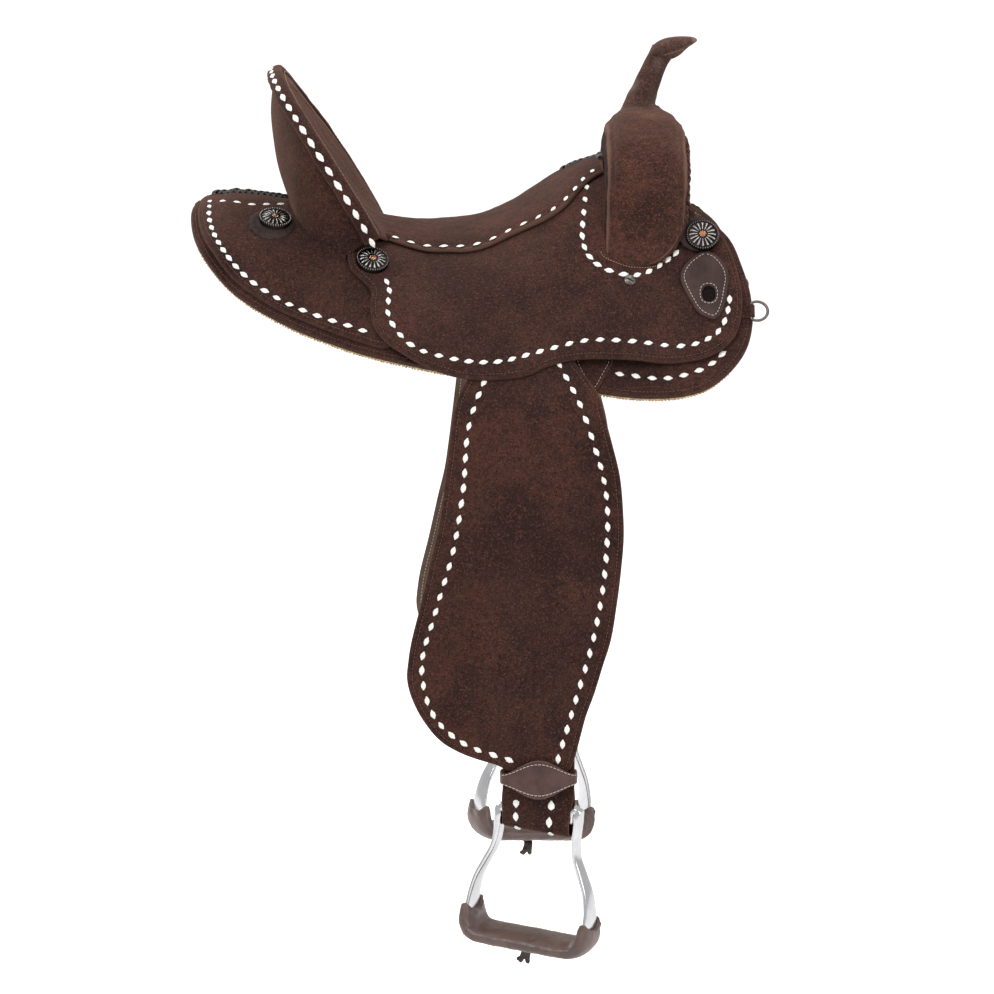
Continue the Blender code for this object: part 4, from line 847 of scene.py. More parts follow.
SEAT_EDGE = (
    (-0.105, -0.0545), (-0.080, -0.0485), (-0.055, -0.0415), (-0.030, -0.0365), (-0.005, -0.035),
    (0.020, -0.042), (0.045, -0.053), (0.070, -0.060), (0.090, -0.070), (0.108, -0.090),
    (0.120, -0.110), (0.137, -0.133),
)
TUCK = 0.014
JOCKEY_LOW_EDGE = (
    (-0.126, -0.052), (-0.1375, -0.030), (-0.1345, -0.006), (-0.121, 0.009), (-0.112, 0.021),
    (-0.112, 0.039), (-0.111, 0.057), (-0.104, 0.074), (-0.092, 0.088), (-0.074, 0.101),
    (-0.052, 0.115), (-0.025, 0.127), (0.001, 0.132), (0.028, 0.132), (0.055, 0.128),
    (0.076, 0.118), (0.093, 0.112), (0.114, 0.108), (0.146, 0.107), (0.179, 0.108),
    (0.211, 0.108), (0.244, 0.103), (0.265, 0.093), (0.280, 0.078), (0.288, 0.059),
    (0.291, 0.038), (0.290, 0.014), (0.284, -0.015), (0.276, -0.038), (0.265, -0.055),
    (0.250, -0.068),
)
SWELL_CUT = (
    (0.2360, -0.084), (0.2330, -0.062), (0.2270, -0.038), (0.2150, -0.020), (0.1960, -0.0105),
    (0.1760, -0.0070), (0.1550, -0.0082), (0.1425, -0.015), (0.1388, -0.030), (0.1390, -0.070),
    (0.1385, -0.112), (0.1375, -0.145),
)
FENDER_OUTLINE = (
    (0.112, 0.114), (0.133, 0.146), (0.142, 0.176), (0.151, 0.207), (0.157, 0.234),
    (0.160, 0.266), (0.161, 0.299), (0.158, 0.337), (0.154, 0.370), (0.148, 0.408),
    (0.139, 0.438), (0.130, 0.468), (0.121, 0.493), (0.114, 0.520), (0.108, 0.541),
    (0.100, 0.553), (0.070, 0.556), (0.040, 0.553), (0.024, 0.546), (0.007, 0.541),
    (-0.010, 0.535), (-0.026, 0.527), (-0.037, 0.519), (-0.047, 0.508), (-0.059, 0.490),
    (-0.068, 0.470), (-0.072, 0.452), (-0.071, 0.435), (-0.067, 0.410), (-0.057, 0.370),
    (-0.046, 0.321), (-0.038, 0.288), (-0.033, 0.255), (-0.029, 0.223), (-0.025, 0.191),
    (-0.021, 0.165), (-0.013, 0.142), (0.004, 0.112), (0.028, 0.086), (0.060, 0.074),
    (0.090, 0.084),
)


def stitch_row(*guides):
    """Places of all stitches of a row, worked out from a few: the number in the row, and x and u in mm."""
    numbers = np.arange(guides[-1][0] + 1)
    return np.stack([between([(row[0], row[k] / 1000) for row in guides], numbers) for k in (1, 2)], -1)


# Buck stitch rows in the same (x, u)
REAR_STITCHES = stitch_row(
    (0, -294, -123), (3, -291, -75), (6, -279, -36), (10, -250, 3), (14, -200, 38), (19, -120, 70),
)
RIDGE_STITCHES = stitch_row((0, -279, -112), (2, -246, -102), (4, -214, -110))
SIDE_STITCHES = stitch_row(
    (0, -95, 10), (1, -92, 22), (3, -93, 52), (6, -68, 90), (9, -21, 109), (12, 26, 112), (15, 71, 100),
    (18, 119, 87), (22, 188, 87), (25, 239, 86), (27, 264, 71), (29, 275, 45), (30, 277, 32),
)
SWELL_STITCHES = stitch_row(
    (0, 124, -111), (2, 120, -70), (5, 120, -27), (7, 134, -6), (10, 177, 6), (12, 202, -9), (14, 220, -25),
)
SWELL_FRONT_STITCHES = ((0.2265, -0.058), (0.2275, -0.073))
FENDER_STITCHES_REAR = stitch_row(
    (0, 11, 134), (3, -5, 180), (7, -11, 244), (11, -22, 312), (15, -41, 378), (19, -56, 442), (22, -44, 490),
    (25, -11, 522), (28, 38, 540),
)
FENDER_STITCHES_FRONT = stitch_row(
    (0, 92, 113), (4, 120, 174), (9, 142, 252), (13, 142, 320), (18, 129, 406), (22, 110, 474), (26, 91, 539),
)
SKIRT_STITCHES = stitch_row((0, 157, 118), (3, 209, 123), (6, 257, 105), (7, 268, 94))
FINE = 0.0022


def stitch_piece(name, spots, body, side, seed=1, **shape):
    stitches = buck_stitches(Solid(), spots, seed=seed, **shape)
    return piece(name, stitches, [WHITE_LACE, SLIT_SHADE], body, side)


def spots_along(places, normals, count):
    """Stitch places, directions and normals, spread evenly along a line."""
    length = np.concatenate([[0], np.cumsum(np.linalg.norm(np.diff(places, axis=0), axis=1))])
    at = np.linspace(0, length[-1], count)
    return tuple(
        np.stack([np.interp(at, length, values[:, k]) for k in range(3)], -1)
        for values in (places, tangents(places), np.broadcast_to(normals, places.shape))
    )


def thread_piece(name, lines, body, side, material=BROWN_THREAD, **sizes):
    solid = Solid()
    for places, normals in lines:
        thread_stitches(solid, places, normals, **sizes)
    return piece(name, solid, material, body, side)


def inner_line(outline, by, step=0.001):
    """Closed line drawn inside an outline, cut close."""
    line = smooth(shrunk(outline, by), step, True)
    return line[distance_to(outline, line) > by - 0.0004]


# Skirts, fleece and rear jockeys
skirt_cut = clear_of_ridge(smooth(SKIRT_OUTLINE, FINE, True))
fleece_cut = clear_of_ridge(shrunk(smooth(SKIRT_OUTLINE, 0.004, True), 0.0048))
rear_cut = clear_of_ridge(smooth(REAR_JOCKEY_OUTLINE, FINE, True))
skirt_sheet, rear_sheet = cut_sheet(skirt_cut), cut_sheet(rear_cut)
fleece_sheet = cut_sheet(fleece_cut, cell=0.0055)
skirt_high = uneven(0.0, 0.07, 0.0003, 11)
rear_top = uneven(rear_high, 0.06, 0.0005, 21)
fleece_top = -SKIRT - LAYER_GAP
THREAD_IN, REAR_SETTLE = 0.0052, 0.0030
THREAD_SUNK = math.exp(-((THREAD_IN / SETTLE_REACH) ** 2))


def fleece_low(x, u):
    flat = np.stack(np.broadcast_arrays(x, u, 0 * x), -1)
    curls = 0.0016 * wander(flat, 0.016, 31) + 0.0011 * wander(flat, 0.0075, 32)
    return fleece_top - FLEECE + 0.0006 + curls


def wool_fringe(solid, outline, seed):
    """Short curls that stand out round the fleece's edge."""
    chance = np.random.default_rng(seed)
    line = smooth(outline, 0.0035, True)
    ahead = tangents(line, True)
    outward = np.stack([ahead[:, 1], -ahead[:, 0]], -1)
    area = (line[:, 0] * np.roll(line[:, 1], -1) - line[:, 1] * np.roll(line[:, 0], -1)).sum()
    outward *= 1 if area > 0 else -1
    for (x, u), (ox, ou), (ax, au) in zip(line, outward, ahead):
        if u < ridge_u(x) + 0.008:
            continue
        for depth in np.arange(0.0016, FLEECE - 0.0005, 0.0029):
            reach = 0.0016 + 0.0008 * chance.random()
            lean = chance.uniform(-1, 1)
            t = np.linspace(-0.6, 1, 5)
            cx = x + ox * reach * t + ax * lean * 0.0016 * t**2
            cu = u + ou * reach * t + au * lean * 0.0016 * t**2
            droop = fleece_top - depth - 0.0014 * t * abs(t) * chance.random()
            tube(solid, on_form(cx, cu, droop), 0.0013, (0, 1, 0), 0.8, 5)
    return solid


for side, hand in SIDES:
    wool = plate(Solid(), fleece_sheet, on_form, fleece_low, fleece_top, 0.001)
    wool_fringe(wool, fleece_cut, 41)
    fleece = piece(f"wool_lining_{hand}", wool, WOOL, "saddle", side, [f"fleece_{hand}"], 180)
    skirt = plate(Solid(), skirt_sheet, on_form, -SKIRT, skirt_high, 0.0026, 0.0004, (0, 1, 2))
    piece(f"skirt_leather_{hand}", skirt, CUT_LEATHER, "saddle", side, [f"skirt_{hand}"])
    rear = plate(Solid(), rear_sheet, on_form, rear_low, rear_top, 0.0030, 0.0004, (0, 1, 2), REAR_SETTLE)
    piece(f"rear_jockey_leather_{hand}", rear, CUT_LEATHER, "saddle", side, [f"rear_jockey_{hand}"])
    rear_spots, ridge_spots = (lay(on_form, rear_top, row) for row in (REAR_STITCHES, RIDGE_STITCHES))
    skirt_spots = lay(on_form, skirt_high, SKIRT_STITCHES)
    stitch_piece(f"rear_jockey_stitches_{hand}", rear_spots, "saddle", side, 2)
    stitch_piece(f"ridge_stitches_{hand}", ridge_spots, "saddle", side, 3, size=0.9, lean=0)
    stitch_piece(f"skirt_stitches_{hand}", skirt_spots, "saddle", side, 4, lean=8)
    lines = []
    for cut, height, lift in ((skirt_cut, skirt_high, 0.0), (rear_cut, rear_top, -REAR_SETTLE * THREAD_SUNK)):
        line = inner_line(cut, THREAD_IN)
        lines.append(lay(on_form, height, line, lift)[::2])
    thread_piece(f"skirt_thread_{hand}", lines, "saddle", side)

# Side jockeys
jockey_inner = [(x, between(SEAT_EDGE, x) - TUCK) for x in np.linspace(0.134, -0.098, 14)]
SWELL_TUCK, SWELL_CENTRE_X = 0.86, 0.189
tucked = [(SWELL_CENTRE_X + SWELL_TUCK * (x - SWELL_CENTRE_X), u - 0.006) for x, u in SWELL_CUT]
jockey_cut = np.vstack([smooth(JOCKEY_LOW_EDGE, FINE), smooth(tucked, FINE), smooth(jockey_inner, FINE)])
jockey_sheet = cut_sheet(jockey_cut)
side_top = uneven(side_high, 0.06, 0.00045, 51)
SCREW_SPOT, SCREW = (0.169, 0.013), 0.0060
SWELL_THREAD = (
    (0.1375, -0.021), (0.142, -0.0145), (0.154, -0.0085), (0.1705, -0.0030), (0.1938, -0.0062),
    (0.2132, -0.0188),
)


def screw_height(r, a):
    """Domed head with a turned ring and a straight slot."""
    q = r / SCREW
    slot = np.exp(-((r * np.sin(a - 0.5) / 0.0006) ** 2)) * (q < 0.72)
    dome = 0.0022 * np.sqrt(np.clip(1 - (0.96 * q) ** 2, 0, 1))
    return dome - 0.0012 * slot - 0.0005 * np.exp(-(((q - 0.78) / 0.06) ** 2)) - 0.0014 * (r >= SCREW)


def screw_worn(r, a):
    q = r / SCREW
    return np.exp(-(((q - 0.78) / 0.07) ** 2)) + np.exp(-((r * np.sin(a - 0.5) / 0.0007) ** 2)) * (q < 0.72)


for side, hand in SIDES:
    jockey = plate(Solid(), jockey_sheet, on_top, side_low, side_top, 0.0030, 0.0005, (0, 1, 2))
    jockey_node = f"side_jockey_{hand}"
    piece(f"side_jockey_leather_{hand}", jockey, CUT_LEATHER, "saddle", side, [jockey_node])
    stitch_piece(f"side_jockey_stitches_{hand}", lay(on_top, side_top, SIDE_STITCHES), "saddle", side, 5)
    spots = lay(on_top, side_top, SWELL_STITCHES), lay(on_top, side_top, SWELL_FRONT_STITCHES)
    spots = tuple(np.vstack(pair) for pair in zip(*spots))
    stitch_piece(f"swell_foot_stitches_{hand}", spots, "saddle", side, 6, lean=-13)
    low_edge = smooth(shrunk(jockey_cut, 0.0055)[: len(smooth(JOCKEY_LOW_EDGE, FINE)) - 8], 0.001)
    thread_piece(f"side_jockey_thread_{hand}", [lay(on_top, side_top, low_edge)[::2]], "saddle", side)
    swell_thread = lay(on_top, side_top, smooth(SWELL_THREAD, 0.001), 0.0002)[::2]
    thread_piece(
        f"swell_foot_thread_{hand}", [swell_thread], "saddle", side, TAN_THREAD,
        long=0.0016, gap=0.0014, radius=0.00055,
    )
    screw_at = np.array([SCREW_SPOT, (SCREW_SPOT[0], SCREW_SPOT[1] + 0.001)])
    screw_place, _, screw_normal = lay(on_top, side_top, screw_at, 0.0003)
    radii = SCREW * np.array([0.02, 0.2, 0.4, 0.6, 0.75, 0.88, 0.96, 1.0, 1.0])
    screw = disc(Solid(), screw_place[0], screw_normal[0], radii, screw_height, 48, None, screw_worn)
    piece(f"swell_screw_{hand}", screw, STEEL, "saddle", side)

# Seat
SEAT_FRONT, SEAT_BACK = 0.1420, -0.092
SEAT_CROWN = 0.0255
PAD_RIM, PAD_LIFT = 0.0065, 0.0014
CANTLE_BACKWARD = np.array([-0.84, 0, -0.54])
RIM_SHAPE = (
    (-0.2125, 0.000, 0.2170), (-0.2095, 0.308, 0.2115), (-0.2020, 0.547, 0.1990),
    (-0.1875, 0.752, 0.1775), (-0.1665, 0.930, 0.1470), (-0.1396, 0.985, 0.1050),
    (-0.1190, 0.964, 0.0710), (-0.1050, 0.910, 0.0450),
)
RIM = [(x, share * FLANK_Y, z) for x, share, z in RIM_SHAPE]
ACROSS = 9
FLAT_ROWS, DISH_ROWS = 12, 8
half = np.linspace(0, 1, ACROSS + 1)
rim_half = resample(RIM, ACROSS + 1)


def both_halves(half_row):
    half_row = np.array(half_row)
    return np.concatenate([half_row[:0:-1] * [1, -1, 1], half_row])


def seat_at(x, share):
    """Point of the seat's top, share of the way from its middle to its edge."""
    ridge, edge = ridge_u(x, SEAT_RIDGE), between(SEAT_EDGE, x)
    edge_high = side_high(x, edge) + PAD_LIFT + PAD_EDGE
    return on_top(x, ridge + share * (edge - ridge), SEAT_CROWN + (edge_high - SEAT_CROWN) * share**3)


flat_rows = [
    both_halves(seat_at(np.full(ACROSS + 1, x), half)) for x in np.linspace(SEAT_FRONT, SEAT_BACK, FLAT_ROWS)
]
start, rim_row = flat_rows[-1], both_halves(rim_half)
span = np.linalg.norm(rim_row - start, axis=1, keepdims=True)
spread = np.abs(np.linspace(-1, 1, 2 * ACROSS + 1))[:, None]
leave = np.array([-1.0, 0, 0.0]) * span * 0.95 * (1 - 0.5 * spread)
arrive = span * ((1 - spread) * np.array([-0.36, 0, 0.93]) * 1.05 + spread * unit(rim_row - start))
dish_rows = []
for t in np.linspace(0, 1, DISH_ROWS + 1)[1:]:
    dish_rows.append(
        (2 * t**3 - 3 * t**2 + 1) * start + (t**3 - 2 * t**2 + t) * leave
        + (3 * t**2 - 2 * t**3) * rim_row + (t**3 - t**2) * arrive
    )
seat_grid = np.array(flat_rows + dish_rows)


def normals_of(grid):
    normal = unit(np.cross(np.gradient(grid, axis=0), np.gradient(grid, axis=1)))
    return normal if normal[0, normal.shape[1] // 2, 2] > 0 else -normal


def crowded(count, steps):
    """Places along a row of a grid, set closer at both ends."""
    share = np.linspace(-1, 1, steps)
    share = np.sign(share) * (1 - (1 - np.abs(share)) ** 1.6)
    share = 0.45 * share + 0.55 * np.linspace(-1, 1, steps)
    return (share + 1) / 2 * (count - 1)


def rounded(over, under, reach, share=0.5):
    """Both faces of a pad drawn together at its edge, so that the edge is round."""
    gap = np.linalg.norm(over - under, axis=-1, keepdims=True)
    rows, columns = over.shape[:2]
    along = np.cumsum(np.linalg.norm(np.diff(over, axis=0, prepend=over[:1]), axis=-1), axis=0)
    aside = np.cumsum(np.linalg.norm(np.diff(over, axis=1, prepend=over[:, :1]), axis=-1), axis=1)
    from_edge = np.min([along, along[-1:] - along, aside, aside[:, -1:] - aside], axis=0)
    t = np.clip(1 - from_edge / reach, 0, 1)[..., None]
    pull = gap * share * (1 - np.sqrt(1 - t**2 * 0.98))
    down = unit(under - over)
    return over + down * pull, under - down * pull * 0.8, from_edge


seat_rows, seat_columns = crowded(len(seat_grid), 190), crowded(seat_grid.shape[1], 170)
seat_fine = refine(seat_grid, seat_rows, seat_columns)
seat_normal = normals_of(seat_fine)
spread_fine = np.abs(seat_columns / ACROSS - 1)[None, :, None]
row_share = np.clip((seat_rows - (FLAT_ROWS - 1)) / DISH_ROWS, 0, 1)[:, None, None]
depth = PAD_EDGE + (PAD - PAD_EDGE) * (1 - smoothstep(0.45, 0.85, spread_fine))
depth = depth + (PAD_RIM - depth) * row_share
seat_under = seat_fine - seat_normal * depth
seat_under = seat_under + row_share**24 * (seat_fine + CANTLE_BACKWARD * PAD_RIM - seat_under)
soft = 0.0007 * wander(seat_fine, 0.075, 61) + 0.0003 * wander(seat_fine, 0.022, 62)
aside_edge = np.minimum(*[np.abs(seat_columns - end) for end in (0, seat_grid.shape[1] - 1)])[None, :]
puff = 0.0012 * (1 - np.exp(-((aside_edge / 0.8) ** 2))) * (1 - row_share[..., 0] ** 4)
from_rim = np.linalg.norm(seat_fine - seat_fine[-1:], axis=-1)
groove = 0.0016 * np.exp(-(((from_rim - 0.016) / 0.0022) ** 2)) * smoothstep(0.15, 0.4, row_share[..., 0])
seat_over = seat_fine + seat_normal * (soft + puff - groove)[..., None]
seat_over, seat_under, seat_from_edge = rounded(seat_over, seat_under, 0.0045)
# Paler along the seat's edges, partly rubbing and partly painted sheen, and in a band near the cantle's rim
seat_worn = np.exp(-((seat_from_edge / 0.004) ** 2)) + 0.35 * np.clip(wander(seat_fine, 0.09, 63), 0, 1)
seat_worn += 0.75 * np.exp(-(((from_rim - 0.009) / 0.009) ** 2)) * smoothstep(0.2, 0.5, row_share[..., 0])
seat = piece(
    "seat_cover", shell(Solid(), seat_over, seat_under, worn=np.clip(seat_worn, 0, 1)), SUEDE, "saddle",
    1, ["seat_pad"],
)

SEAT_STITCH_IN = ((-0.0875, 0.0030), (-0.055, 0.0042), (0.0, 0.0050), (0.13, 0.0054))
SEAT_THREAD_IN, SEAT_STITCHES = 0.0016, 15
for side, hand in SIDES:
    x = np.linspace(-0.0875, 0.1305, 160)
    for name, inset in (("seat_stitches", between(SEAT_STITCH_IN, x)), ("seat_thread", SEAT_THREAD_IN)):
        wide = between(SEAT_EDGE, x) - ridge_u(x, SEAT_RIDGE)
        places = seat_at(x, 1 - inset / wide)
        inner = seat_at(x, 1 - (inset + 0.002) / wide)
        ahead = tangents(places)
        normal = unit(np.cross(ahead, inner - places))
        normal *= np.sign(normal[:, 2:])
        places = places + normal * (0.0004 if name == "seat_stitches" else 0.0002 - 0.0012)
        if name == "seat_thread":
            thread_piece(f"{name}_{hand}", [(places, normal)], "saddle", side, BROWN_THREAD)
            continue
        spots = spots_along(places, normal, SEAT_STITCHES)
        stitch_piece(f"{name}_{hand}", spots, "saddle", side, 7, size=0.92)

# Cantle: binding round the rim, back cover
CANTLE_THICK, RIM_STITCHES = 0.0160, 35
BACK_SHAPE = ((-0.2086, 0.000), (-0.2060, 0.308), (-0.1930, 0.602), (-0.1680, 0.780), (-0.1400, 0.821))
BACK_BASE = [(x, share * FLANK_Y) for x, share in BACK_SHAPE]
BACK_BULGE, BACK_RISE = 0.008, 0.0018
fine_rim = smooth(both_halves(rim_half), 0.0028)
rim_ahead = tangents(fine_rim)
rim_out = unit(np.cross(rim_ahead, CANTLE_BACKWARD))
rim_out *= np.sign(rim_out[len(rim_out) // 2, 2])
bind_path = fine_rim + CANTLE_BACKWARD * CANTLE_THICK / 2 + rim_out * 0.0066
bind_rings = rings_along(bind_path, CANTLE_BACKWARD, CANTLE_THICK / 2 + 0.0012, 0.0062, 32, 2.5)
bind_centre = bind_rings.mean(1, keepdims=True)
swell_by = 1 + (0.05 * wander(bind_rings, 0.03, 71) + 0.02 * wander(bind_rings, 0.008, 72))[..., None]
bind_rings = bind_centre + (bind_rings - bind_centre) * swell_by
bind_worn = np.abs(((bind_rings - bind_centre) @ CANTLE_BACKWARD)) / (CANTLE_THICK / 2 + 0.0012)
binding = loft(Solid(), bind_rings, 0, np.clip((bind_worn - 0.6) / 0.4, 0, 1) * 0.45)
piece("cantle_binding_leather", binding, SUEDE, "saddle", 1, ["cantle_binding"])
rim_line = bind_path + rim_out * 0.0060 + CANTLE_BACKWARD * 0.0012
rim_spots = spots_along(rim_line, rim_out, RIM_STITCHES)
stitch_piece("cantle_stitches", rim_spots, "saddle", 1, 8, size=1.3, lean=4, plump=0.85)
seam_line = fine_rim + rim_out * 0.0012 - CANTLE_BACKWARD * 0.0012
thread_piece("cantle_seam_thread", [(seam_line, rim_out)], "saddle", 1, TAN_THREAD, long=0.0034, gap=0.0008)

base_flat = resample(BACK_BASE, ACROSS + 1)


def on_rear_jockey(flat, rise):
    """Points rise above the rear jockey at plan places (x, y)."""
    u = u_at(flat[:, 0], flat[:, 1])
    return on_form(flat[:, 0], u, rear_high(flat[:, 0], u) + rise)


base_half = on_rear_jockey(base_flat, BACK_RISE + COVER / 2)
rim_coarse = both_halves(rim_half)
coarse_out = unit(np.cross(tangents(rim_coarse), CANTLE_BACKWARD))
coarse_out *= np.sign(coarse_out[ACROSS, 2])
back_head = rim_coarse + CANTLE_BACKWARD * CANTLE_THICK - coarse_out * 0.0008
back_foot = both_halves(base_half)
back_grid = []
base_ahead = tangents(np.stack([base_flat[:, 0], base_flat[:, 1], 0 * base_flat[:, 0]], -1))
base_out = np.stack([-base_ahead[:, 1], base_ahead[:, 0]], -1)
for t in np.linspace(0, 1, 7):
    bulge = np.array([-1.0, 0, 0]) * BACK_BULGE * 4 * t * (1 - t) * (1 - spread**2)
    back_grid.append(back_head + (back_foot - back_head) * t + bulge)
FOOT_STEPS = ((0.0030, 0.0020), (0.0065, 0.0010), (0.0105, 0.0004), (0.0145, -0.0004))
for reach, rise in FOOT_STEPS:
    back_grid.append(both_halves(on_rear_jockey(base_flat + base_out * reach, rise)))
back_rows = np.linspace(0, len(back_grid) - 1, 100)
back_fine = refine(np.array(back_grid), back_rows, np.linspace(0, 2 * ACROSS, 150))
back_normal = unit(np.cross(np.gradient(back_fine, axis=0), np.gradient(back_fine, axis=1)))
back_normal *= -np.sign(back_normal[30, 75, 0])
at_foot = smoothstep(5.5, 9.5, back_rows)[:, None]
back_over = back_fine + back_normal * (0.0007 * (1 - at_foot) * wander(back_fine, 0.06, 81))[..., None]
back_depth = COVER * (1 - 0.7 * at_foot)[..., None]
back_over, back_under, back_edge = rounded(back_over, back_fine - back_normal * back_depth, 0.003)
back_worn = 0.5 * np.exp(-((back_edge / 0.004) ** 2)) * (1 - at_foot)
back = shell(Solid(), back_over, back_under, (0, 1, 0), back_worn)
piece("cantle_back_leather", back, [SUEDE, FLESH], "saddle", 1, ["cantle_back_cover"])

# Swell
SWELL_SHAPE = (
    (0.000, 0.1780), (0.274, 0.1765), (0.547, 0.1670), (0.766, 0.1480), (0.917, 0.1200),
    (0.978, 0.0900), (0.995, 0.0650), (1.019, 0.0420), (1.045, 0.0285), (1.063, 0.0200), (1.084, 0.0136),
)
SWELL_PATH = [(share * FLANK_Y, z) for share, z in SWELL_SHAPE]
SWELL_DEPTH = (
    (0.0, 0.050), (0.126, 0.050), (0.262, 0.049), (0.398, 0.047), (0.534, 0.041), (0.651, 0.036),
    (0.748, 0.028), (0.855, 0.0165), (0.940, 0.0085), (1.0, 0.0050),
)
SWELL_MIDDLE = (
    (0.0, 0.1892), (0.60, 0.1892), (0.70, 0.1888), (0.80, 0.1870), (0.87, 0.1840), (0.92, 0.1800),
    (0.95, 0.1768), (0.97, 0.1747), (1.0, 0.1731),
)
SWELL_HALF = (
    (0.0, 0.0458), (0.60, 0.0458), (0.70, 0.0456), (0.80, 0.0448), (0.87, 0.0425), (0.92, 0.0390),
    (0.95, 0.0351), (0.97, 0.0305), (0.983, 0.0245), (0.992, 0.0172), (1.0, 0.0060),
)
SWELL_ROWS, SWELL_COLUMNS, SHADE_COLUMN = 140, 72, 63
SWELL_POWER = 2.7
SWELL_LEATHER = 0.0035


def swell_rings(inset, rows, section):
    path = resample(SWELL_PATH, rows)
    share = np.linspace(0, 1, rows)
    depth, middle, half_x = (between(table, share) for table in (SWELL_DEPTH, SWELL_MIDDLE, SWELL_HALF))
    ahead = tangents(np.vstack([path[1] * [-1, 1], path]))[1:]
    outward = np.stack([-ahead[:, 1], ahead[:, 0]], -1)
    outward *= np.sign(outward[0, 1])
    angle = np.linspace(0, math.pi, section)
    c = np.sign(np.cos(angle)) * np.abs(np.cos(angle)) ** (2 / SWELL_POWER)
    s = np.abs(np.sin(angle)) ** (2 / SWELL_POWER)
    rise = -depth[:, None] + (depth[:, None] - inset) * s
    x = middle[:, None] + (half_x[:, None] - inset) * c
    y = path[:, :1] + outward[:, :1] * rise
    z = path[:, 1:] + outward[:, 1:] * rise
    return np.stack([x, y, z], -1)


def both_ways(rings):
    return np.concatenate([rings[:0:-1] * [1, -1, 1], rings])


swell_outer = both_ways(swell_rings(0.0, SWELL_ROWS, SWELL_COLUMNS))
swell_inner = both_ways(swell_rings(SWELL_LEATHER, SWELL_ROWS, SWELL_COLUMNS))
swell_out = unit(swell_outer - swell_inner)
section_angle = np.linspace(0, math.pi, SWELL_COLUMNS)[None]


def band(angle, width):
    """Strip of the swell's section, along both of its borders."""
    return sum(np.exp(-(((section_angle - at) / width) ** 2)) for at in (angle, math.pi - angle))


ripple = 0.0008 * wander(swell_outer, 0.05, 91) + 0.0003 * wander(swell_outer, 0.014, 92)
welt = 0.0013 * band(0.52, 0.08) - 0.0008 * band(0.73, 0.07)
swell_top = swell_outer + swell_out * (ripple + welt)[..., None]
# Paler band along the welt, partly rubbing and partly a painted highlight on the ridge, plus random wear
swell_wear_and_highlight = np.clip(0.80 * band(0.52, 0.11) + 0.25 * wander(swell_outer, 0.07, 93), 0, 1)
swell = shell(Solid(), swell_top, swell_inner, (0, 2, 0), swell_wear_and_highlight)
# Painted shade: the swell's rear columns take shaded_suede, where its rear face lies in shadow
for k in range((len(swell_top) - 1) * (SWELL_COLUMNS - 1)):
    if k % (SWELL_COLUMNS - 1) >= SHADE_COLUMN:
        swell.kinds[k] = 2
piece("swell_leather", swell, [SWELL_SUEDE, FLESH, SHADED_SUEDE], "saddle", 1, ["swell_cover"])

LACED_ROWS, FRONT_COLUMN = slice(28, -28), 5
front_out = swell_out[LACED_ROWS, FRONT_COLUMN]
front_edge = swell_outer[LACED_ROWS, FRONT_COLUMN] - 0.0024 * front_out
laced = whip(Solid(), front_edge, front_out, 0.0054, 0.0034, 0.0096, 0.0027, 1.5, 0.35)
piece("swell_whip_lace", laced, SWELL_SUEDE, "saddle", 1, ["swell_lacing"])

# Horn
HORN_FOOT = (
    (0.1840, 0.0305, -0.0014), (0.1843, 0.0272, 0.0003), (0.1846, 0.0240, 0.0016), (0.1850, 0.0213, 0.0034),
)
HORN_NECK = (
    (0.1868, 0.1882), (0.1895, 0.1955), (0.1921, 0.2027), (0.1979, 0.2174), (0.2045, 0.2320),
    (0.2104, 0.2425),
)
HORN_RADIUS = (0.0166, 0.0153, 0.0144, 0.0131, 0.0125, 0.0131)
AROUND = 48
CAP_TILT = math.radians(17)
CAP_CENTRE = np.array([0.2204, 0.0, 0.2455])
CAP_LENGTH, CAP_WIDTH, CAP_LIP = 0.0262, 0.0262, 0.12
cap_axis = np.array([-math.sin(CAP_TILT), 0, math.cos(CAP_TILT)])
cap_along = np.array([math.cos(CAP_TILT), 0, math.sin(CAP_TILT)])


def crown_z(x, y):
    """Height of the swell's top, where the horn stands on it."""
    across = np.abs(x - SWELL_MIDDLE[0][1]) / SWELL_HALF[0][1]
    fall = 1 - np.clip(1 - across**SWELL_POWER, 0, 1) ** (1 / SWELL_POWER)
    return between(SWELL_PATH[:5], np.abs(y)) - SWELL_DEPTH[0][1] * fall


turn = np.arange(AROUND) * 2 * math.pi / AROUND + math.pi / AROUND
horn_rings = []
for middle_x, radius, lift in HORN_FOOT:
    x, y = middle_x - radius * np.sin(turn), radius * np.cos(turn)
    horn_rings.append(np.stack([x, y, crown_z(x, y) + lift], -1))
neck = np.array([(x, 0, z) for x, z in HORN_NECK])
horn_rings = np.concatenate([horn_rings, rings_along(neck, (0, 1, 0), HORN_RADIUS, HORN_RADIUS, AROUND)])
horn_rings = refine(horn_rings, np.linspace(0, len(horn_rings) - 1, 80), np.arange(AROUND))
uneven_neck = 0.02 * wander(horn_rings, 0.02, 101)
horn_rings += (horn_rings - horn_rings.mean(1, keepdims=True)) * uneven_neck[..., None]
horn = loft(Solid(), horn_rings, 0, np.clip(0.25 + 0.3 * wander(horn_rings, 0.03, 102), 0, 1))
piece("horn_neck_leather", horn, HORN_SUEDE, "saddle", 1, ["horn_wrap"])
CAP_PROFILE = (
    (0.0, 0.0115), (0.20, 0.0117), (0.40, 0.0113), (0.60, 0.0100), (0.80, 0.0073), (0.92, 0.0044),
    (0.98, 0.0018), (1.0, -0.0002),
    (0.985, -0.0020), (0.93, -0.0034), (0.80, -0.0052), (0.62, -0.0072), (0.45, -0.0095),
    (0.30, -0.0115), (0.15, -0.0125), (0.0, -0.0128),
)
CAP_SPREAD = 50
profile = smooth([(share, height * CAP_SPREAD) for share, height in CAP_PROFILE], 0.02) / (1, CAP_SPREAD)
around = np.arange(96) * 2 * math.pi / 96
cap_rings = []
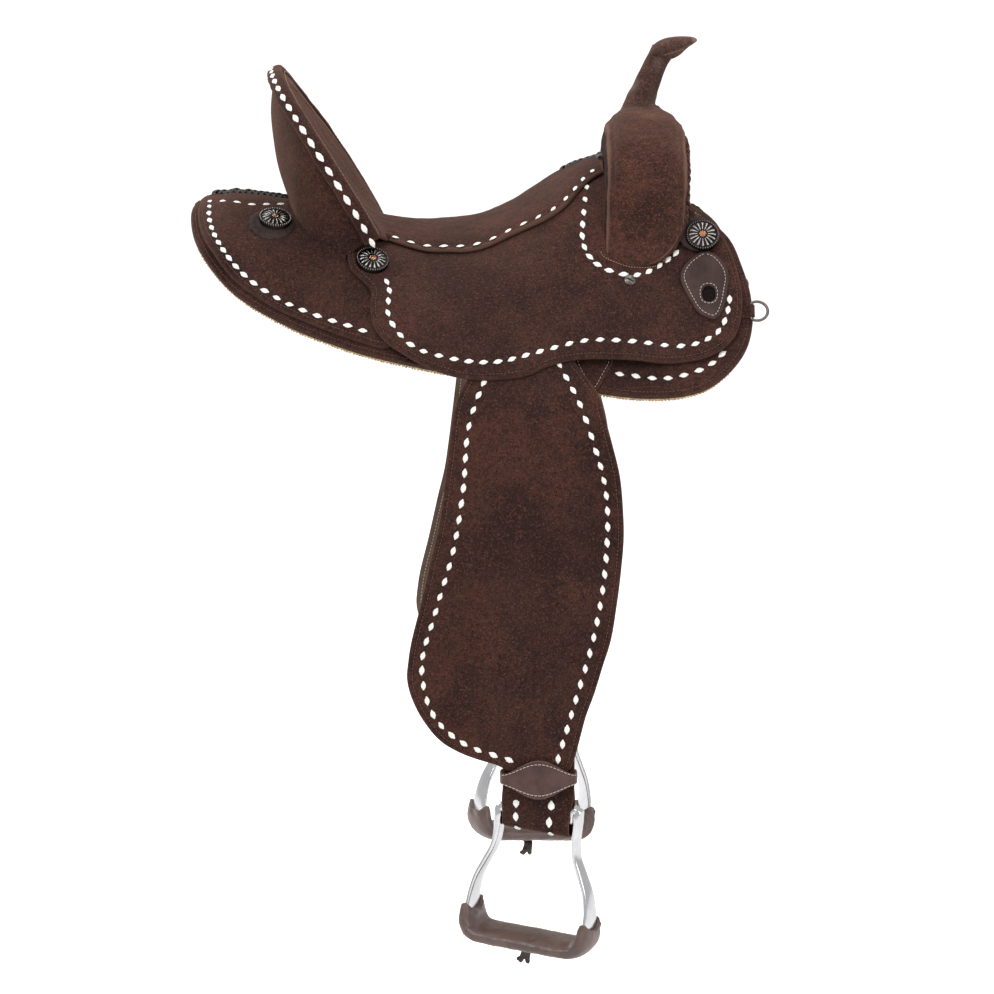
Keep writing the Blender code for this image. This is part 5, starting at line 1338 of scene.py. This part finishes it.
for share, height in profile:
    thin = 1 - 0.30 * smoothstep(-0.2, 0.8, np.cos(around) * share)
    reach = CAP_LENGTH * (1 + CAP_LIP * np.cos(around).clip(0) ** 2)
    ring = CAP_CENTRE + cap_along * (reach * share * np.cos(around))[:, None]
    ring = ring + np.array([0, 1.0, 0]) * (CAP_WIDTH * share * np.sin(around))[:, None]
    cap_rings.append(ring + cap_axis * (height * thin)[:, None])
cap_rings = np.array(cap_rings)
cap_worn = smoothstep(0.84, 1.0, ((cap_rings - CAP_CENTRE) @ cap_along) / CAP_LENGTH)
cap = loft(Solid(), cap_rings, 0, np.clip(cap_worn + 0.2 + 0.25 * wander(cap_rings, 0.02, 103), 0, 1))
piece("horn_cap_leather", cap, HORN_SUEDE, "saddle", 1, ["horn_cap"])
lines = []
for turn in (np.linspace(-2.1, -1.0, 60), np.linspace(1.0, 2.1, 60)):
    share, height = 0.84, -0.0052
    ring = CAP_CENTRE + cap_along * (CAP_LENGTH * share * np.cos(turn))[:, None]
    ring = ring + np.array([0, 1.0, 0]) * (CAP_WIDTH * share * np.sin(turn))[:, None]
    ring = ring + cap_axis * height * 0.9
    lines.append((ring - cap_axis * 0.0002, np.broadcast_to(-cap_axis, ring.shape)))
thread_piece("horn_cap_thread", lines, "saddle", 1, TAN_THREAD)

# Black whip lacing along the rear ridge and the seat's front
ridge_x = np.linspace(-0.2870, -0.212, 60)
ridge_lift = FIT + 0.0004 + 0.0020 * smoothstep(-0.287, -0.262, ridge_x)
ridge_height = rear_high(ridge_x, ridge_u(ridge_x)) + ridge_lift
ridge_line = np.stack([ridge_x, 0 * ridge_x, between(RIDGE, ridge_x) + ridge_height], -1)
laced = whip(Solid(), ridge_line, (0, 0, 1), 0.0058, 0.0038, 0.0064, 0.0019, 1.6, 1.0, seed=4)
piece("rear_whip_lace", laced, BLACK_LACE, "saddle", 1, ["rear_lacing"])
lace_columns = np.linspace(5.0, 13.0, 60)
seat_lace = refine(seat_grid, np.array([0.0]), lace_columns)[0]
seat_lace_normal = refine(normals_of(seat_grid), np.array([0.0]), lace_columns)[0]
seat_lace = seat_lace + np.array([-0.0008, 0, 0]) - seat_lace_normal * 0.0012
laced = whip(Solid(), seat_lace, seat_lace_normal, 0.0050, 0.0042, 0.0060, 0.0018, 1.6, 1.0, seed=5)
crest_x = np.linspace(0.102, 0.1400, 28)
crest = np.array([seat_at(x, 0.0) for x in crest_x]) - [0, 0, 0.0010]
whip(laced, crest, (0, 0, 1), 0.0048, 0.0034, 0.0060, 0.0018, 1.6, 1.0, seed=6)
piece("seat_whip_lace", laced, BLACK_LACE, "saddle", 1, ["seat_lacing"])

# Hanging leather
BOTTOM_TWIST, STIRRUP_TILT = math.radians(22), math.radians(5)
STRAP_HALF, STRAP_X = 0.039, 0.070
STRAP_AT = {"right": STRAP_X, "left": STRAP_X + 0.006}
HANG = 0.612
STRAP_DROP = {"right": HANG, "left": HANG - 0.017}
BAR_RADIUS = 0.0066
LOOP = BAR_RADIUS + 0.0008 + STRAP / 2
INNER_TOP, TWIST_START = 0.300, 0.568
HOBBLE_S, HOBBLE_HALF, HOBBLE_THICK, HOBBLE_ROOM = 0.561, STRAP_HALF + 0.0008, 0.0022, 0.0046
HOBBLE_RISE = (0.0056, 0.0212)


def turned(share):
    turn = BOTTOM_TWIST * np.asarray(share)
    tilt = STIRRUP_TILT * np.asarray(share)
    across = np.stack([np.cos(turn) * np.cos(tilt), np.sin(turn) * np.cos(tilt), -np.sin(tilt)], -1)
    out = np.stack([-np.sin(turn), np.cos(turn), 0 * turn], -1)
    return across, out


def strap_lines(hand):
    """Middle of the strap with its width direction, down the outer ply, round the bar and up again."""
    drop, strap_x = STRAP_DROP[hand], STRAP_AT[hand]
    s = np.concatenate([
        [0.058, 0.075, 0.095, 0.12], np.linspace(DROP_START, DROP_END, 12)[:-1],
        np.linspace(DROP_END, 0.550, 24), np.linspace(0.560, drop, 16),
    ])
    share = smoothstep(TWIST_START, drop - 0.004, s)
    across, out = turned(share)
    middle = on_drop(strap_x, s, STRAP_LOW + STRAP / 2)
    core = middle - np.array([0, LOOP, 0])
    outer = np.where((s > DROP_END)[:, None], core + out * LOOP, middle)
    across_end, out_end = turned(1.0)
    around = np.linspace(0, math.pi, 20)[1:-1, None]
    below = unit(np.cross(out_end, across_end))
    below = -below * np.sign(below[2])
    loop = core[-1] + out_end * LOOP * np.cos(around) + below * LOOP * np.sin(around)
    up_s = np.concatenate([np.linspace(drop, 0.560, 16), [0.545], np.linspace(0.500, INNER_TOP, 20)])
    up_across, up_out = turned(smoothstep(TWIST_START, drop - 0.004, up_s))
    close = (2 * LOOP - STRAP - FIT) * (1 - smoothstep(0.490, 0.570, up_s))
    up_core = on_drop(strap_x, up_s, STRAP_LOW + STRAP / 2) - np.array([0, LOOP, 0])
    inner = up_core - up_out * (LOOP - close[:, None])
    line = np.vstack([outer, loop, inner])
    wide = np.vstack([across, np.tile(across_end, (len(loop), 1)), up_across])
    return line, wide, core[-1]


fender_cut = smooth(FENDER_OUTLINE, FINE, True)
fender_sheet = cut_sheet(fender_cut)
fender_top = uneven(FENDER_LOW + FENDER, 0.08, 0.0005, 111)
fender_thread = inner_line(fender_cut, 0.0058)
widths = np.concatenate([[-1, -0.985, -0.96], np.linspace(-0.92, 0.92, 15), [0.96, 0.985, 1]])
DIAMONDS_DROP = 0.610
LOOP_DIAMONDS = [(x, s) for x in (0.0475, 0.0865) for s in (0.5885, 0.6055, 0.6208)]
for side, hand in SIDES:
    body = f"fender_set_{hand}"
    panel = plate(Solid(), fender_sheet, on_drop, FENDER_LOW, fender_top, 0.0024, 0.0005, (0, 1, 2))
    piece(f"fender_leather_{hand}", panel, CUT_LEATHER, body, side, [f"fender_{hand}"])
    for place, row, lean, seed in (
        ("rear", FENDER_STITCHES_REAR, 8, 12), ("front", FENDER_STITCHES_FRONT, -13, 13),
    ):
        spots = lay(on_drop, fender_top, row)
        stitch_piece(f"fender_{place}_stitches_{hand}", spots, body, side, seed, lean=lean)
    thread_piece(f"fender_thread_{hand}", [lay(on_drop, fender_top, fender_thread)[::2]], body, side)
    places, _, normals = lay(on_drop, lambda x, s: FENDER_LOW + 0 * x, fender_thread)
    thread_piece(f"fender_back_thread_{hand}", [(places, -normals)], body, side, PALE_THREAD)

    line, wide, _ = strap_lines(hand)
    strap_out = unit(np.cross(wide, tangents(line)))
    grid = line[:, None] + wide[:, None] * (widths * STRAP_HALF)[None, :, None]
    thin = np.sqrt(np.clip(1 - (np.abs(widths) - 0.90).clip(0) ** 2 / 0.0101, 0.02, 1))[None, :, None]
    offset = strap_out[:, None] * STRAP / 2 * thin
    # Paler along the strap's edges, partly rubbing and partly painted sheen
    strap_worn = np.abs(widths)[None] ** 30 * np.ones((len(line), 1))
    strap = shell(Solid(), grid + offset, grid - offset, (0, 0, 0), strap_worn)
    piece(f"stirrup_strap_{hand}", strap, SUEDE, body, side, [f"stirrup_leather_{hand}"])

    across, out = turned(smoothstep(TWIST_START, STRAP_DROP[hand] - 0.004, HOBBLE_S))
    face = on_drop(STRAP_AT[hand], HOBBLE_S, FENDER_LOW + FENDER)
    back_y = on_drop(STRAP_AT[hand], HOBBLE_S, STRAP_LOW + STRAP / 2)[1] - 2 * LOOP - STRAP / 2
    middle = np.array([STRAP_AT[hand], (face[1] + back_y) / 2, face[2]])
    deep = (face[1] - back_y) / 2 + HOBBLE_ROOM

    def hobble_rings(extra, levels):
        angle = np.linspace(0, 2 * math.pi, 6001)
        round_way = np.stack([np.cos(angle), np.sin(angle)], -1)
        section = np.sign(round_way) * np.abs(round_way) ** (0.22, 0.55) * (HOBBLE_HALF, deep)
        section = evenly(section, count=201)[:-1]
        ring_x, ring_y = section[:, 0] / HOBBLE_HALF, section[:, 1] / deep
        swell_up = np.cos(ring_x * math.pi / 2).clip(0) ** 1.7 * smoothstep(-0.2, 0.3, ring_y)
        rise = HOBBLE_RISE[0] + (HOBBLE_RISE[1] - HOBBLE_RISE[0]) * swell_up
        rings = []
        for h in levels:
            more = extra + (0.0006 * math.sqrt(max(0.0, 1 - abs(h) ** 6)) if extra else 0.0)
            flat = across * (ring_x * (HOBBLE_HALF + more))[:, None] + out * (ring_y * (deep + more))[:, None]
            rings.append(middle + flat + np.array([0, 0, 1.0]) * (rise * h)[:, None])
        return np.array(rings)

    levels = np.concatenate([[-1, -0.985, -0.95], np.linspace(-0.88, 0.88, 15), [0.95, 0.985, 1]])
    outer, inner = hobble_rings(HOBBLE_THICK - 0.0006, levels), hobble_rings(0.0, levels)
    hobble = sleeve(Solid(), outer, inner, (0, 1), np.abs(levels)[:, None] ** 12 * np.ones((1, 200)))
    piece(
        f"hobble_strap_leather_{hand}", hobble, [BROWN, FLESH], body, side,
        [f"hobble_strap_{hand}"],
    )
    lines = []
    for level in (-0.80, 0.80):
        ring = hobble_rings(HOBBLE_THICK + 0.0002 - 0.0006, [level])[0]
        front = evenly(ring[12:89], step=0.0008)
        normal = unit(front - middle - across * ((front - middle) @ across)[:, None] * 0.98)
        lines.append((front, normal))
    thread_piece(
        f"hobble_thread_{hand}", lines, body, side, PALE_THREAD, long=0.0034, gap=0.0008, radius=0.0005
    )

    spots = []
    for x, s in LOOP_DIAMONDS:
        local = x - STRAP_X
        drop = STRAP_DROP[hand] - DIAMONDS_DROP + s
        share = smoothstep(TWIST_START, STRAP_DROP[hand] - 0.004, drop)
        wide_way, out_way = turned(share)
        past = max(0.0, drop - STRAP_DROP[hand]) / (LOOP + STRAP / 2)
        down = np.array([0, 0, -1.0])
        face_way = out_way * math.cos(past) + down * math.sin(past)
        ahead = down * math.cos(past) - out_way * math.sin(past)
        core = on_drop(STRAP_AT[hand], min(drop, STRAP_DROP[hand]), STRAP_LOW + STRAP / 2) - [0, LOOP, 0]
        spots.append((core + face_way * (LOOP + STRAP / 2) + wide_way * local, ahead, face_way))
    spots = tuple(np.array(values) for values in zip(*spots))
    stitch_piece(f"strap_loop_stitches_{hand}", spots, body, side, 14, size=1.18, lean=0, plump=1.15)

# Stirrups
STIRRUP_TOP = STRAP_HALF + 0.0015
STIRRUP = (
    (0.000, 0.000), (STIRRUP_TOP, 0.010), (STIRRUP_TOP + 0.0046, 0.002),
    (STIRRUP_TOP + 0.0050, -0.018), (STIRRUP_TOP + 0.0080, -0.034), (0.0565, -0.052),
    (0.0640, -0.070), (0.0680, -0.090), (0.0685, -0.108), (0.0660, -0.122), (0.0560, -0.1310),
    (0.0300, -0.1320), (0.0000, -0.1320),
)
STIRRUP_DEEP = (
    0.0062, 0.0062, 0.0080, 0.0090, 0.0098, 0.0110, 0.0130, 0.0160, 0.0200, 0.0235, 0.0262,
    0.0265, 0.0265,
)
STIRRUP_THICK = (
    0.0062, 0.0062, 0.0058, 0.0044, 0.0038, 0.0038, 0.0038, 0.0038, 0.0038, 0.0042, 0.0045, 0.0045, 0.0045,
)
WRAP, EAR = 0.0055, 0.0105
HALF_RINGS = 97
half_path = resample([(x, 0, z) for x, z in STIRRUP], HALF_RINGS)
lengths = np.concatenate([[0], np.cumsum([math.dist(a, b) for a, b in zip(STIRRUP, STIRRUP[1:])])])
evenly_along = np.linspace(0, 1, HALF_RINGS)
deep_half = np.interp(evenly_along, lengths / lengths[-1], STIRRUP_DEEP)
thick_half = np.interp(evenly_along, lengths / lengths[-1], STIRRUP_THICK)
frame_path = np.vstack([half_path, (half_path * [-1, 1, 1])[-2:0:-1]])
at_front = smoothstep(STRAP_HALF - 0.0010, STIRRUP_TOP + 0.0020, frame_path[:, 0])
frame_path[:, 2] += EAR * at_front * smoothstep(-0.034, 0.004, frame_path[:, 2])
frame_deep = np.concatenate([deep_half, deep_half[-2:0:-1]])
frame_thick = np.concatenate([thick_half, thick_half[-2:0:-1]])
stirrup_across, stirrup_out = turned(1.0)
stirrup_up = unit(np.cross(stirrup_out, stirrup_across))
stirrup_up *= np.sign(stirrup_up[2])


def hung(points, middle):
    x, y, z = (np.array(points)[..., k : k + 1] for k in range(3))
    return middle + x * stirrup_across + y * stirrup_out + z * stirrup_up


frame_rings = rings_along(frame_path, (0, 1, 0), frame_deep, frame_thick, 40, 2.4, closed=True)
wrap_from = round(11 / 17 * (HALF_RINGS - 1))
wrap_index = np.arange(wrap_from, len(frame_path) - wrap_from + 1)
wrap_outer, wrap_inner = (
    rings_along(
        frame_path, (0, 1, 0), frame_deep + more, frame_thick + more, 56, 2.4, closed=True
    )[wrap_index]
    for more in (WRAP, FIT)
)
ring_number = np.linspace(-1, 1, len(wrap_index))[:, None, None]
wrap_centre = frame_path[wrap_index][:, None]
creases = 0.05 * wander(wrap_outer * [2.2, 1, 1], 0.012, 121) + 0.05 * wander(wrap_outer, 0.03, 122)
near_end = np.exp(-(((1 - np.abs(ring_number[..., 0])) / 0.10) ** 2))
wrap_grown = 1 + (creases * (0.4 + near_end)) - 0.06 * near_end**3
wrap_outer = wrap_centre + (wrap_outer - wrap_centre) * wrap_grown[..., None]
wrap_worn = np.clip(0.25 * wander(wrap_outer, 0.02, 123) + near_end * 0.5, 0, 1)
NOTCH = 0.0048
notch_turn = np.arange(56) * 2 * math.pi / 56
notch = NOTCH * np.cos(2 * notch_turn)[None] * np.exp(-(((1 - np.abs(ring_number[..., 0])) / 0.07) ** 2))
notch_way = tangents(frame_path, True)[wrap_index][:, None] * np.sign(ring_number)
wrap_outer, wrap_inner = (grid + notch_way * notch[..., None] for grid in (wrap_outer, wrap_inner))


TAILS = (
    (
        (-0.0050, 0.010, -0.1425), (-0.0050, 0.002, -0.1440), (-0.0055, -0.004, -0.1475),
        (-0.0080, -0.005, -0.1560), (-0.0095, -0.005, -0.1612),
    ),
    (
        (0.0010, 0.010, -0.1425), (0.0005, 0.002, -0.1440), (-0.0005, -0.004, -0.1475),
        (-0.0015, -0.006, -0.1560), (0.0005, -0.005, -0.1608),
    ),
    (
        (-0.0035, 0.006, -0.1430), (-0.0030, -0.002, -0.1470), (-0.0065, -0.007, -0.1545),
        (-0.0140, -0.006, -0.1588),
    ),
)


def lace_tails(middle):
    """The knot under the tread and the ends that hang from it."""
    solid = Solid()
    for loop in TAILS:
        tube(solid, hung(smooth(loop, 0.0012), middle), 0.0030, stirrup_across, 0.6, 8)
    return solid


for side, hand in SIDES:
    body = f"stirrup_set_{hand}"
    middle = strap_lines(hand)[2]
    iron = loft(Solid(), hung(frame_rings, middle), closed=True)
    piece(f"stirrup_iron_{hand}", iron, ALUMINIUM, body, side, [f"stirrup_{hand}"])
    wrap = sleeve(Solid(), hung(wrap_outer, middle), hung(wrap_inner, middle), (0, 1), wrap_worn)
    piece(f"tread_leather_{hand}", wrap, [TREAD_BROWN, FLESH], body, side, [f"tread_wrap_{hand}"])
    piece(f"tread_knot_{hand}", lace_tails(middle), KNOT_LACE, body, side, [f"tread_lace_{hand}"])

# Rigging leather, latigo keeper, conchos and dees
RIGGING_OUTLINE = (
    (0.108, 0.060), (0.147, 0.060), (0.152, 0.085), (0.149, 0.105), (0.141, 0.122), (0.132, 0.138),
    (0.123, 0.134), (0.115, 0.120), (0.109, 0.106), (0.106, 0.085),
)
RIGGING = 0.0026
KEEPER_OUTLINE = (
    (0.250, -0.026), (0.235, -0.016), (0.227, -0.005), (0.224, 0.006), (0.227, 0.018), (0.233, 0.032),
    (0.241, 0.047), (0.251, 0.055), (0.260, 0.057), (0.267, 0.051), (0.272, 0.037), (0.275, 0.022),
    (0.277, 0.007), (0.274, -0.007), (0.264, -0.021),
)
KEEPER_SLOT_AT, KEEPER_SLOT_SIZE = (0.2545, 0.0262), (0.0070, 0.0097)
KEEPER, KEEPER_RISE, SLOT_POWER = 0.0030, 0.0006, 2.4
rigging_cut = smooth(RIGGING_OUTLINE, 0.0015, True)
rigging_sheet = cut_sheet(rigging_cut, cell=0.004, loops=(0.0005, 0.0011, 0.002, 0.0035))
keeper_cut = smooth(KEEPER_OUTLINE, 0.0012, True)


def slot_outline(more):
    """The keeper's rounded slot, or the same shape drawn round it."""
    t = np.arange(64) * 2 * math.pi / 64
    round_way = np.stack([np.cos(t), np.sin(t)], -1)
    oval = np.sign(round_way) * np.abs(round_way) ** (2 / SLOT_POWER)
    return KEEPER_SLOT_AT + oval * (np.array(KEEPER_SLOT_SIZE) + more)


keeper_slot = slot_outline(0.0)
keeper_sheet = cut_sheet(keeper_cut, (keeper_slot,), 0.0025, (0.0003, 0.0007, 0.0012, 0.0018, 0.0028))


def keeper_low(x, u):
    return side_high(x, u) + KEEPER_RISE


def keeper_high(x, u):
    return keeper_low(x, u) + KEEPER


def slot_shade_top(x, u):
    """Painted shade: a dark sheet on the leather under the keeper's slot, where the keeper's shadow falls."""
    return side_high(x, u) + 0.0005


keeper_top = uneven(keeper_high, 0.04, 0.0002, 131)
slot_shade_sheet = cut_sheet(slot_outline(0.0016), cell=0.003, loops=(0.0005, 0.0012, 0.002))


def normal_at(surface, height, x, u):
    step = 0.012
    along = surface(x + step, u, height(x + step, u)) - surface(x - step, u, height(x - step, u))
    down = surface(x, u + step, height(x, u + step)) - surface(x, u - step, height(x, u - step))
    normal = unit(np.cross(down, along))
    return normal if normal[1] > 0 else -normal


CONCHO, PETALS, PEARLS, LOBES = 0.0185, 16, 40, 16


def concho_height(r, a):
    """Domed disc with a pearled rim, hollow petals and a raised flower."""
    q = r / CONCHO
    petal = np.abs(np.cos(PETALS / 2 * a))
    dish = 0.0034 * np.clip(1 - q**2, 0, 1) ** 0.8
    rim = 0.0015 * np.exp(-(((q - 0.92) / 0.050) ** 2)) * (1 + 0.6 * np.cos(PEARLS * a))
    rays = 0.0013 * petal**2.5 * np.exp(-(((q - 0.55) / 0.22) ** 2))
    flower = 0.0018 * np.exp(-((q / 0.11) ** 2))
    flower = flower + 0.0008 * np.abs(np.cos(4 * a)) * np.exp(-(((q - 0.17) / 0.05) ** 2))
    return 0.0012 + dish + rim + rays + flower - 0.0022 * smoothstep(0.955, 1.0, q)


def concho_worn(r, a):
    """Dark patina everywhere but on the petals' ridges, the pearls and the flower."""
    q = r / CONCHO
    petal = np.abs(np.cos(PETALS / 2 * a)) ** 4 * smoothstep(0.26, 0.36, q) * (1 - smoothstep(0.74, 0.82, q))
    pearl = smoothstep(-0.1, 0.7, np.cos(PEARLS * a)) * np.exp(-(((q - 0.92) / 0.045) ** 2))
    flower = (0.35 + 0.65 * np.abs(np.cos(4 * a))) * (1 - smoothstep(0.16, 0.24, q))
    return np.clip(1.0 - 0.9 * petal - 0.85 * pearl - 0.9 * flower, 0, 1)


def rosette(surface, height, x, u, radius, rise):
    """Scalloped leather disc laid on the leather under it, tooled with petals."""
    turn = np.arange(192) * 2 * math.pi / 192
    reach = radius * (1 + 0.045 * np.abs(np.cos(LOBES / 2 * turn)))
    outline = np.stack([x + reach * np.cos(turn), u + reach * np.sin(turn)], -1)

    def low(px, pu):
        return height(px, pu) + rise

    def high(px, pu):
        q, a = np.hypot(px - x, pu - u) / radius, np.arctan2(pu - u, px - x)
        petals = np.abs(np.cos(LOBES / 2 * a)) * np.exp(-(((q - 0.86) / 0.10) ** 2))
        return low(px, pu) + 0.0016 + 0.0008 * petals - 0.0006 * np.exp(-(((q - 0.68) / 0.03) ** 2))

    sheet = cut_sheet(outline, cell=0.0016, loops=(0.0003, 0.0007, 0.0012, 0.0018))
    return plate(Solid(), sheet, surface, low, high, 0.0009)


# Each row: surface, height, the concho's place, its rise, the rosette's place and radius
CONCHO_SPOTS = (
    ("front", on_top, side_high, (0.2490, -0.0430), 0.0066, (0.2435, -0.0462), 0.0205),
    ("seat", on_top, side_high, (-0.1112, -0.0165), 0.0004, None, 0.0),
    ("rear", on_form, rear_high, (-0.2190, -0.0712), 0.0024, (-0.2222, -0.0645), 0.0245),
)
CONCHO_AROUND = 240
radii = [[0.02], np.linspace(0.05, 0.84, 30), np.linspace(0.86, 1.0, 8), [1.005, 1.005]]
radii = CONCHO * np.concatenate(radii)
for side, hand in SIDES:
    rigging = plate(Solid(), rigging_sheet, on_form, PLATE_LOW, PLATE_LOW + RIGGING, 0.0012, 0.0, (0, 1, 0))
    piece(
        f"rigging_leather_cover_{hand}", rigging, [SUEDE, FLESH], "saddle", side,
        [f"rigging_leather_{hand}"],
    )
    line = inner_line(rigging_cut, 0.0035)
    low_part = line[line[:, 1] > 0.095]
    places, _, normals = lay(on_form, lambda x, u: PLATE_LOW + RIGGING + 0 * x, low_part)
    thread_piece(f"rigging_thread_{hand}", [(places, normals)], "saddle", side, PALE_THREAD, radius=0.00035)

    body = f"keeper_{hand}"
    keeper = plate(Solid(), keeper_sheet, on_top, keeper_low, keeper_top, 0.0016, 0.0, (0, 1, 0))
    piece(
        f"keeper_leather_{hand}", keeper, [KEEPER_BROWN, FLESH], body, side,
        [f"latigo_keeper_{hand}"],
    )
    # Painted shade: dark sheet under the keeper's slot
    mark = plate(Solid(), slot_shade_sheet, on_top, side_high, slot_shade_top, 0.0002)
    piece(f"keeper_slot_shade_{hand}", mark, SLOT_SHADE_SUEDE, "saddle", side)
    lines = []
    for line in (inner_line(keeper_cut, 0.0042), slot_outline(0.0024)):
        places, _, normals = lay(on_top, keeper_top, np.vstack([line, line[:1]]))
        lines.append((places, normals))
    thread_piece(
        f"keeper_thread_{hand}", lines, body, side, PALE_THREAD, long=0.0032, gap=0.0009, radius=0.00045
    )

    for place, surface, height, (x, u), rise, backing_at, backing in CONCHO_SPOTS:
        normal = normal_at(surface, height, x, u)
        centre = surface(x, u, height(x, u)) + normal * rise
        if backing:
            under = rosette(surface, height, *backing_at, backing, rise - 0.0020)
            piece(
                f"rosette_leather_{place}_{hand}", under, BACKING, "saddle", side,
                [f"rosette_{place}_{hand}"],
            )
        made = disc(
            Solid(), centre, normal, radii, concho_height, CONCHO_AROUND,
            lambda r: 1 if r < 0.19 * CONCHO else 0, concho_worn,
        )
        made.points[0][-CONCHO_AROUND:] -= normal * 0.0012
        piece(
            f"chased_concho_{place}_{hand}", made, [SILVER, COPPER], "saddle", side,
            [f"concho_{place}_{hand}"],
        )

BREAST_AT, BREAST_RISE = (0.3005, 0.0440), 0.0044
BREAST_RING, BREAST_FLAT, BREAST_WIRE = 0.0115, 0.55, 0.0016
TAB, TAB_HALF, TAB_LENGTH = 0.0018, 0.0068, 0.030
ring_angle = np.arange(96) * 2 * math.pi / 96
ring_reach = BREAST_RING * (BREAST_FLAT + np.maximum(np.cos(ring_angle), -BREAST_FLAT))
eye = BREAST_WIRE + FIT + TAB / 2
for side, hand in SIDES:
    spot = on_form(*BREAST_AT, BREAST_RISE)
    down = unit(on_form(BREAST_AT[0], BREAST_AT[1] + 0.01, BREAST_RISE) - spot)
    forward = np.array([1.0, 0, 0])
    outward = np.cross(down, forward)
    outward *= np.sign(outward[1])
    ring = spot + forward * ring_reach[:, None] + down * BREAST_RING * np.sin(ring_angle)[:, None]
    dee = loft(Solid(), rings_along(ring, outward, BREAST_WIRE, BREAST_WIRE, 14, closed=True), closed=True)
    piece(f"breast_collar_ring_{hand}", dee, STEEL, f"dee_{hand}", side, [f"breast_dee_{hand}"])
    flat_part = [(-TAB_LENGTH * k / 12, -eye) for k in range(12, 0, -1)]
    round_turn = np.linspace(-math.pi / 2, math.pi / 2 + 0.6, 20)
    round_part = [(math.cos(t) * eye, math.sin(t) * eye) for t in round_turn]
    tab_line = np.array([spot + forward * a + outward * b for a, b in flat_part + round_part])
    tab_out = unit(np.cross(tangents(tab_line), down))[:, None]
    tab_grid = tab_line[:, None] + down * (np.linspace(-1, 1, 13) * TAB_HALF)[None, :, None]
    tab = shell(Solid(), tab_grid + tab_out * TAB / 2, tab_grid - tab_out * TAB / 2)
    piece(f"breast_collar_tab_{hand}", tab, SUEDE, "saddle", side, [f"breast_tab_{hand}"])

# CAD nodes that stay as they are
for name, material in (
    [("ground_seat", FLESH), ("tree_cantle", TREE), ("tree_fork", TREE), ("horn_core", STEEL)]
    + [(f"{part}_{hand}", kind) for _, hand in SIDES for part, kind in (
        ("tree_bar", TREE), ("rigging_dee", STEEL), ("strap_buckle", STEEL))]
):
    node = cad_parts[name]
    node.data.materials.clear()
    node.data.materials.append(material)

# Studio
scene = bpy.context.scene
scene.view_settings.view_transform = "Standard"

camera_data = bpy.data.cameras.new("camera")
camera_data.lens, camera_data.sensor_width = 142.7, 36
camera_data.clip_end = 1000
camera = bpy.data.objects.new("camera", camera_data)
camera.location = (0.025, -4.43, 0.345)
camera.rotation_euler = (math.radians(90 - 7.8), 0, 0)
scene.collection.objects.link(camera)
scene.camera = camera

floor_mesh = bpy.data.meshes.new("floor")
reach = 400.0
corners = [(-reach, -reach, 0), (reach, -reach, 0), (reach, reach, 0), (-reach, reach, 0)]
floor_mesh.from_pydata(corners, [], [(0, 1, 2, 3)])
floor = bpy.data.objects.new("floor", floor_mesh)
floor.location = (0, 0, -0.90)
scene.collection.objects.link(floor)
pale = Shader("pale_floor")
light_path = pale.node("ShaderNodeLightPath")
white = pale.node("ShaderNodeMath", {0: light_path.outputs["Is Camera Ray"], 1: 0.55}, operation="MULTIPLY")
floor_mesh.materials.append(
    pale.set(
        base_color=(0.92, 0.92, 0.92), roughness=0.9, emission_color=(1, 1, 1),
        emission_strength=white.outputs[0],
    )
)

world = bpy.data.worlds.new("studio")
scene.world = world
world.use_nodes = True
nodes, links = world.node_tree.nodes, world.node_tree.links
background = nodes["Background"]
path_kind = nodes.new("ShaderNodeLightPath")
seen = nodes.new("ShaderNodeMath")
seen.operation = "MAXIMUM"
links.new(path_kind.outputs["Is Camera Ray"], seen.inputs[0])
links.new(path_kind.outputs["Is Transmission Ray"], seen.inputs[1])
level = nodes.new("ShaderNodeMapRange")
level.inputs["To Min"].default_value = 0.62
level.inputs["To Max"].default_value = 1.0
links.new(seen.outputs[0], level.inputs["Value"])
links.new(level.outputs["Result"], background.inputs["Strength"])
background.inputs["Color"].default_value = (1, 1, 1, 1)

for name, place, aim, size, power in (
    ("key", (-1.6, -3.2, 3.0), (0, 0, -0.1), 2.2, 95),
    ("fill", (2.8, -2.6, 1.2), (0, 0, -0.2), 2.4, 40),
    ("top", (0.2, 0.4, 3.2), (0, 0, 0), 2.6, 60),
    ("rim", (-2.4, 2.2, 1.8), (0, 0, 0.1), 1.8, 45),
):
    light_data = bpy.data.lights.new(name, "AREA")
    light_data.shape, light_data.size, light_data.energy = "DISK", size, power
    light = bpy.data.objects.new(name, light_data)
    light.location = place
    light.rotation_euler = (Vector(aim) - Vector(place)).to_track_quat("-Z", "Y").to_euler()
    scene.collection.objects.link(light)
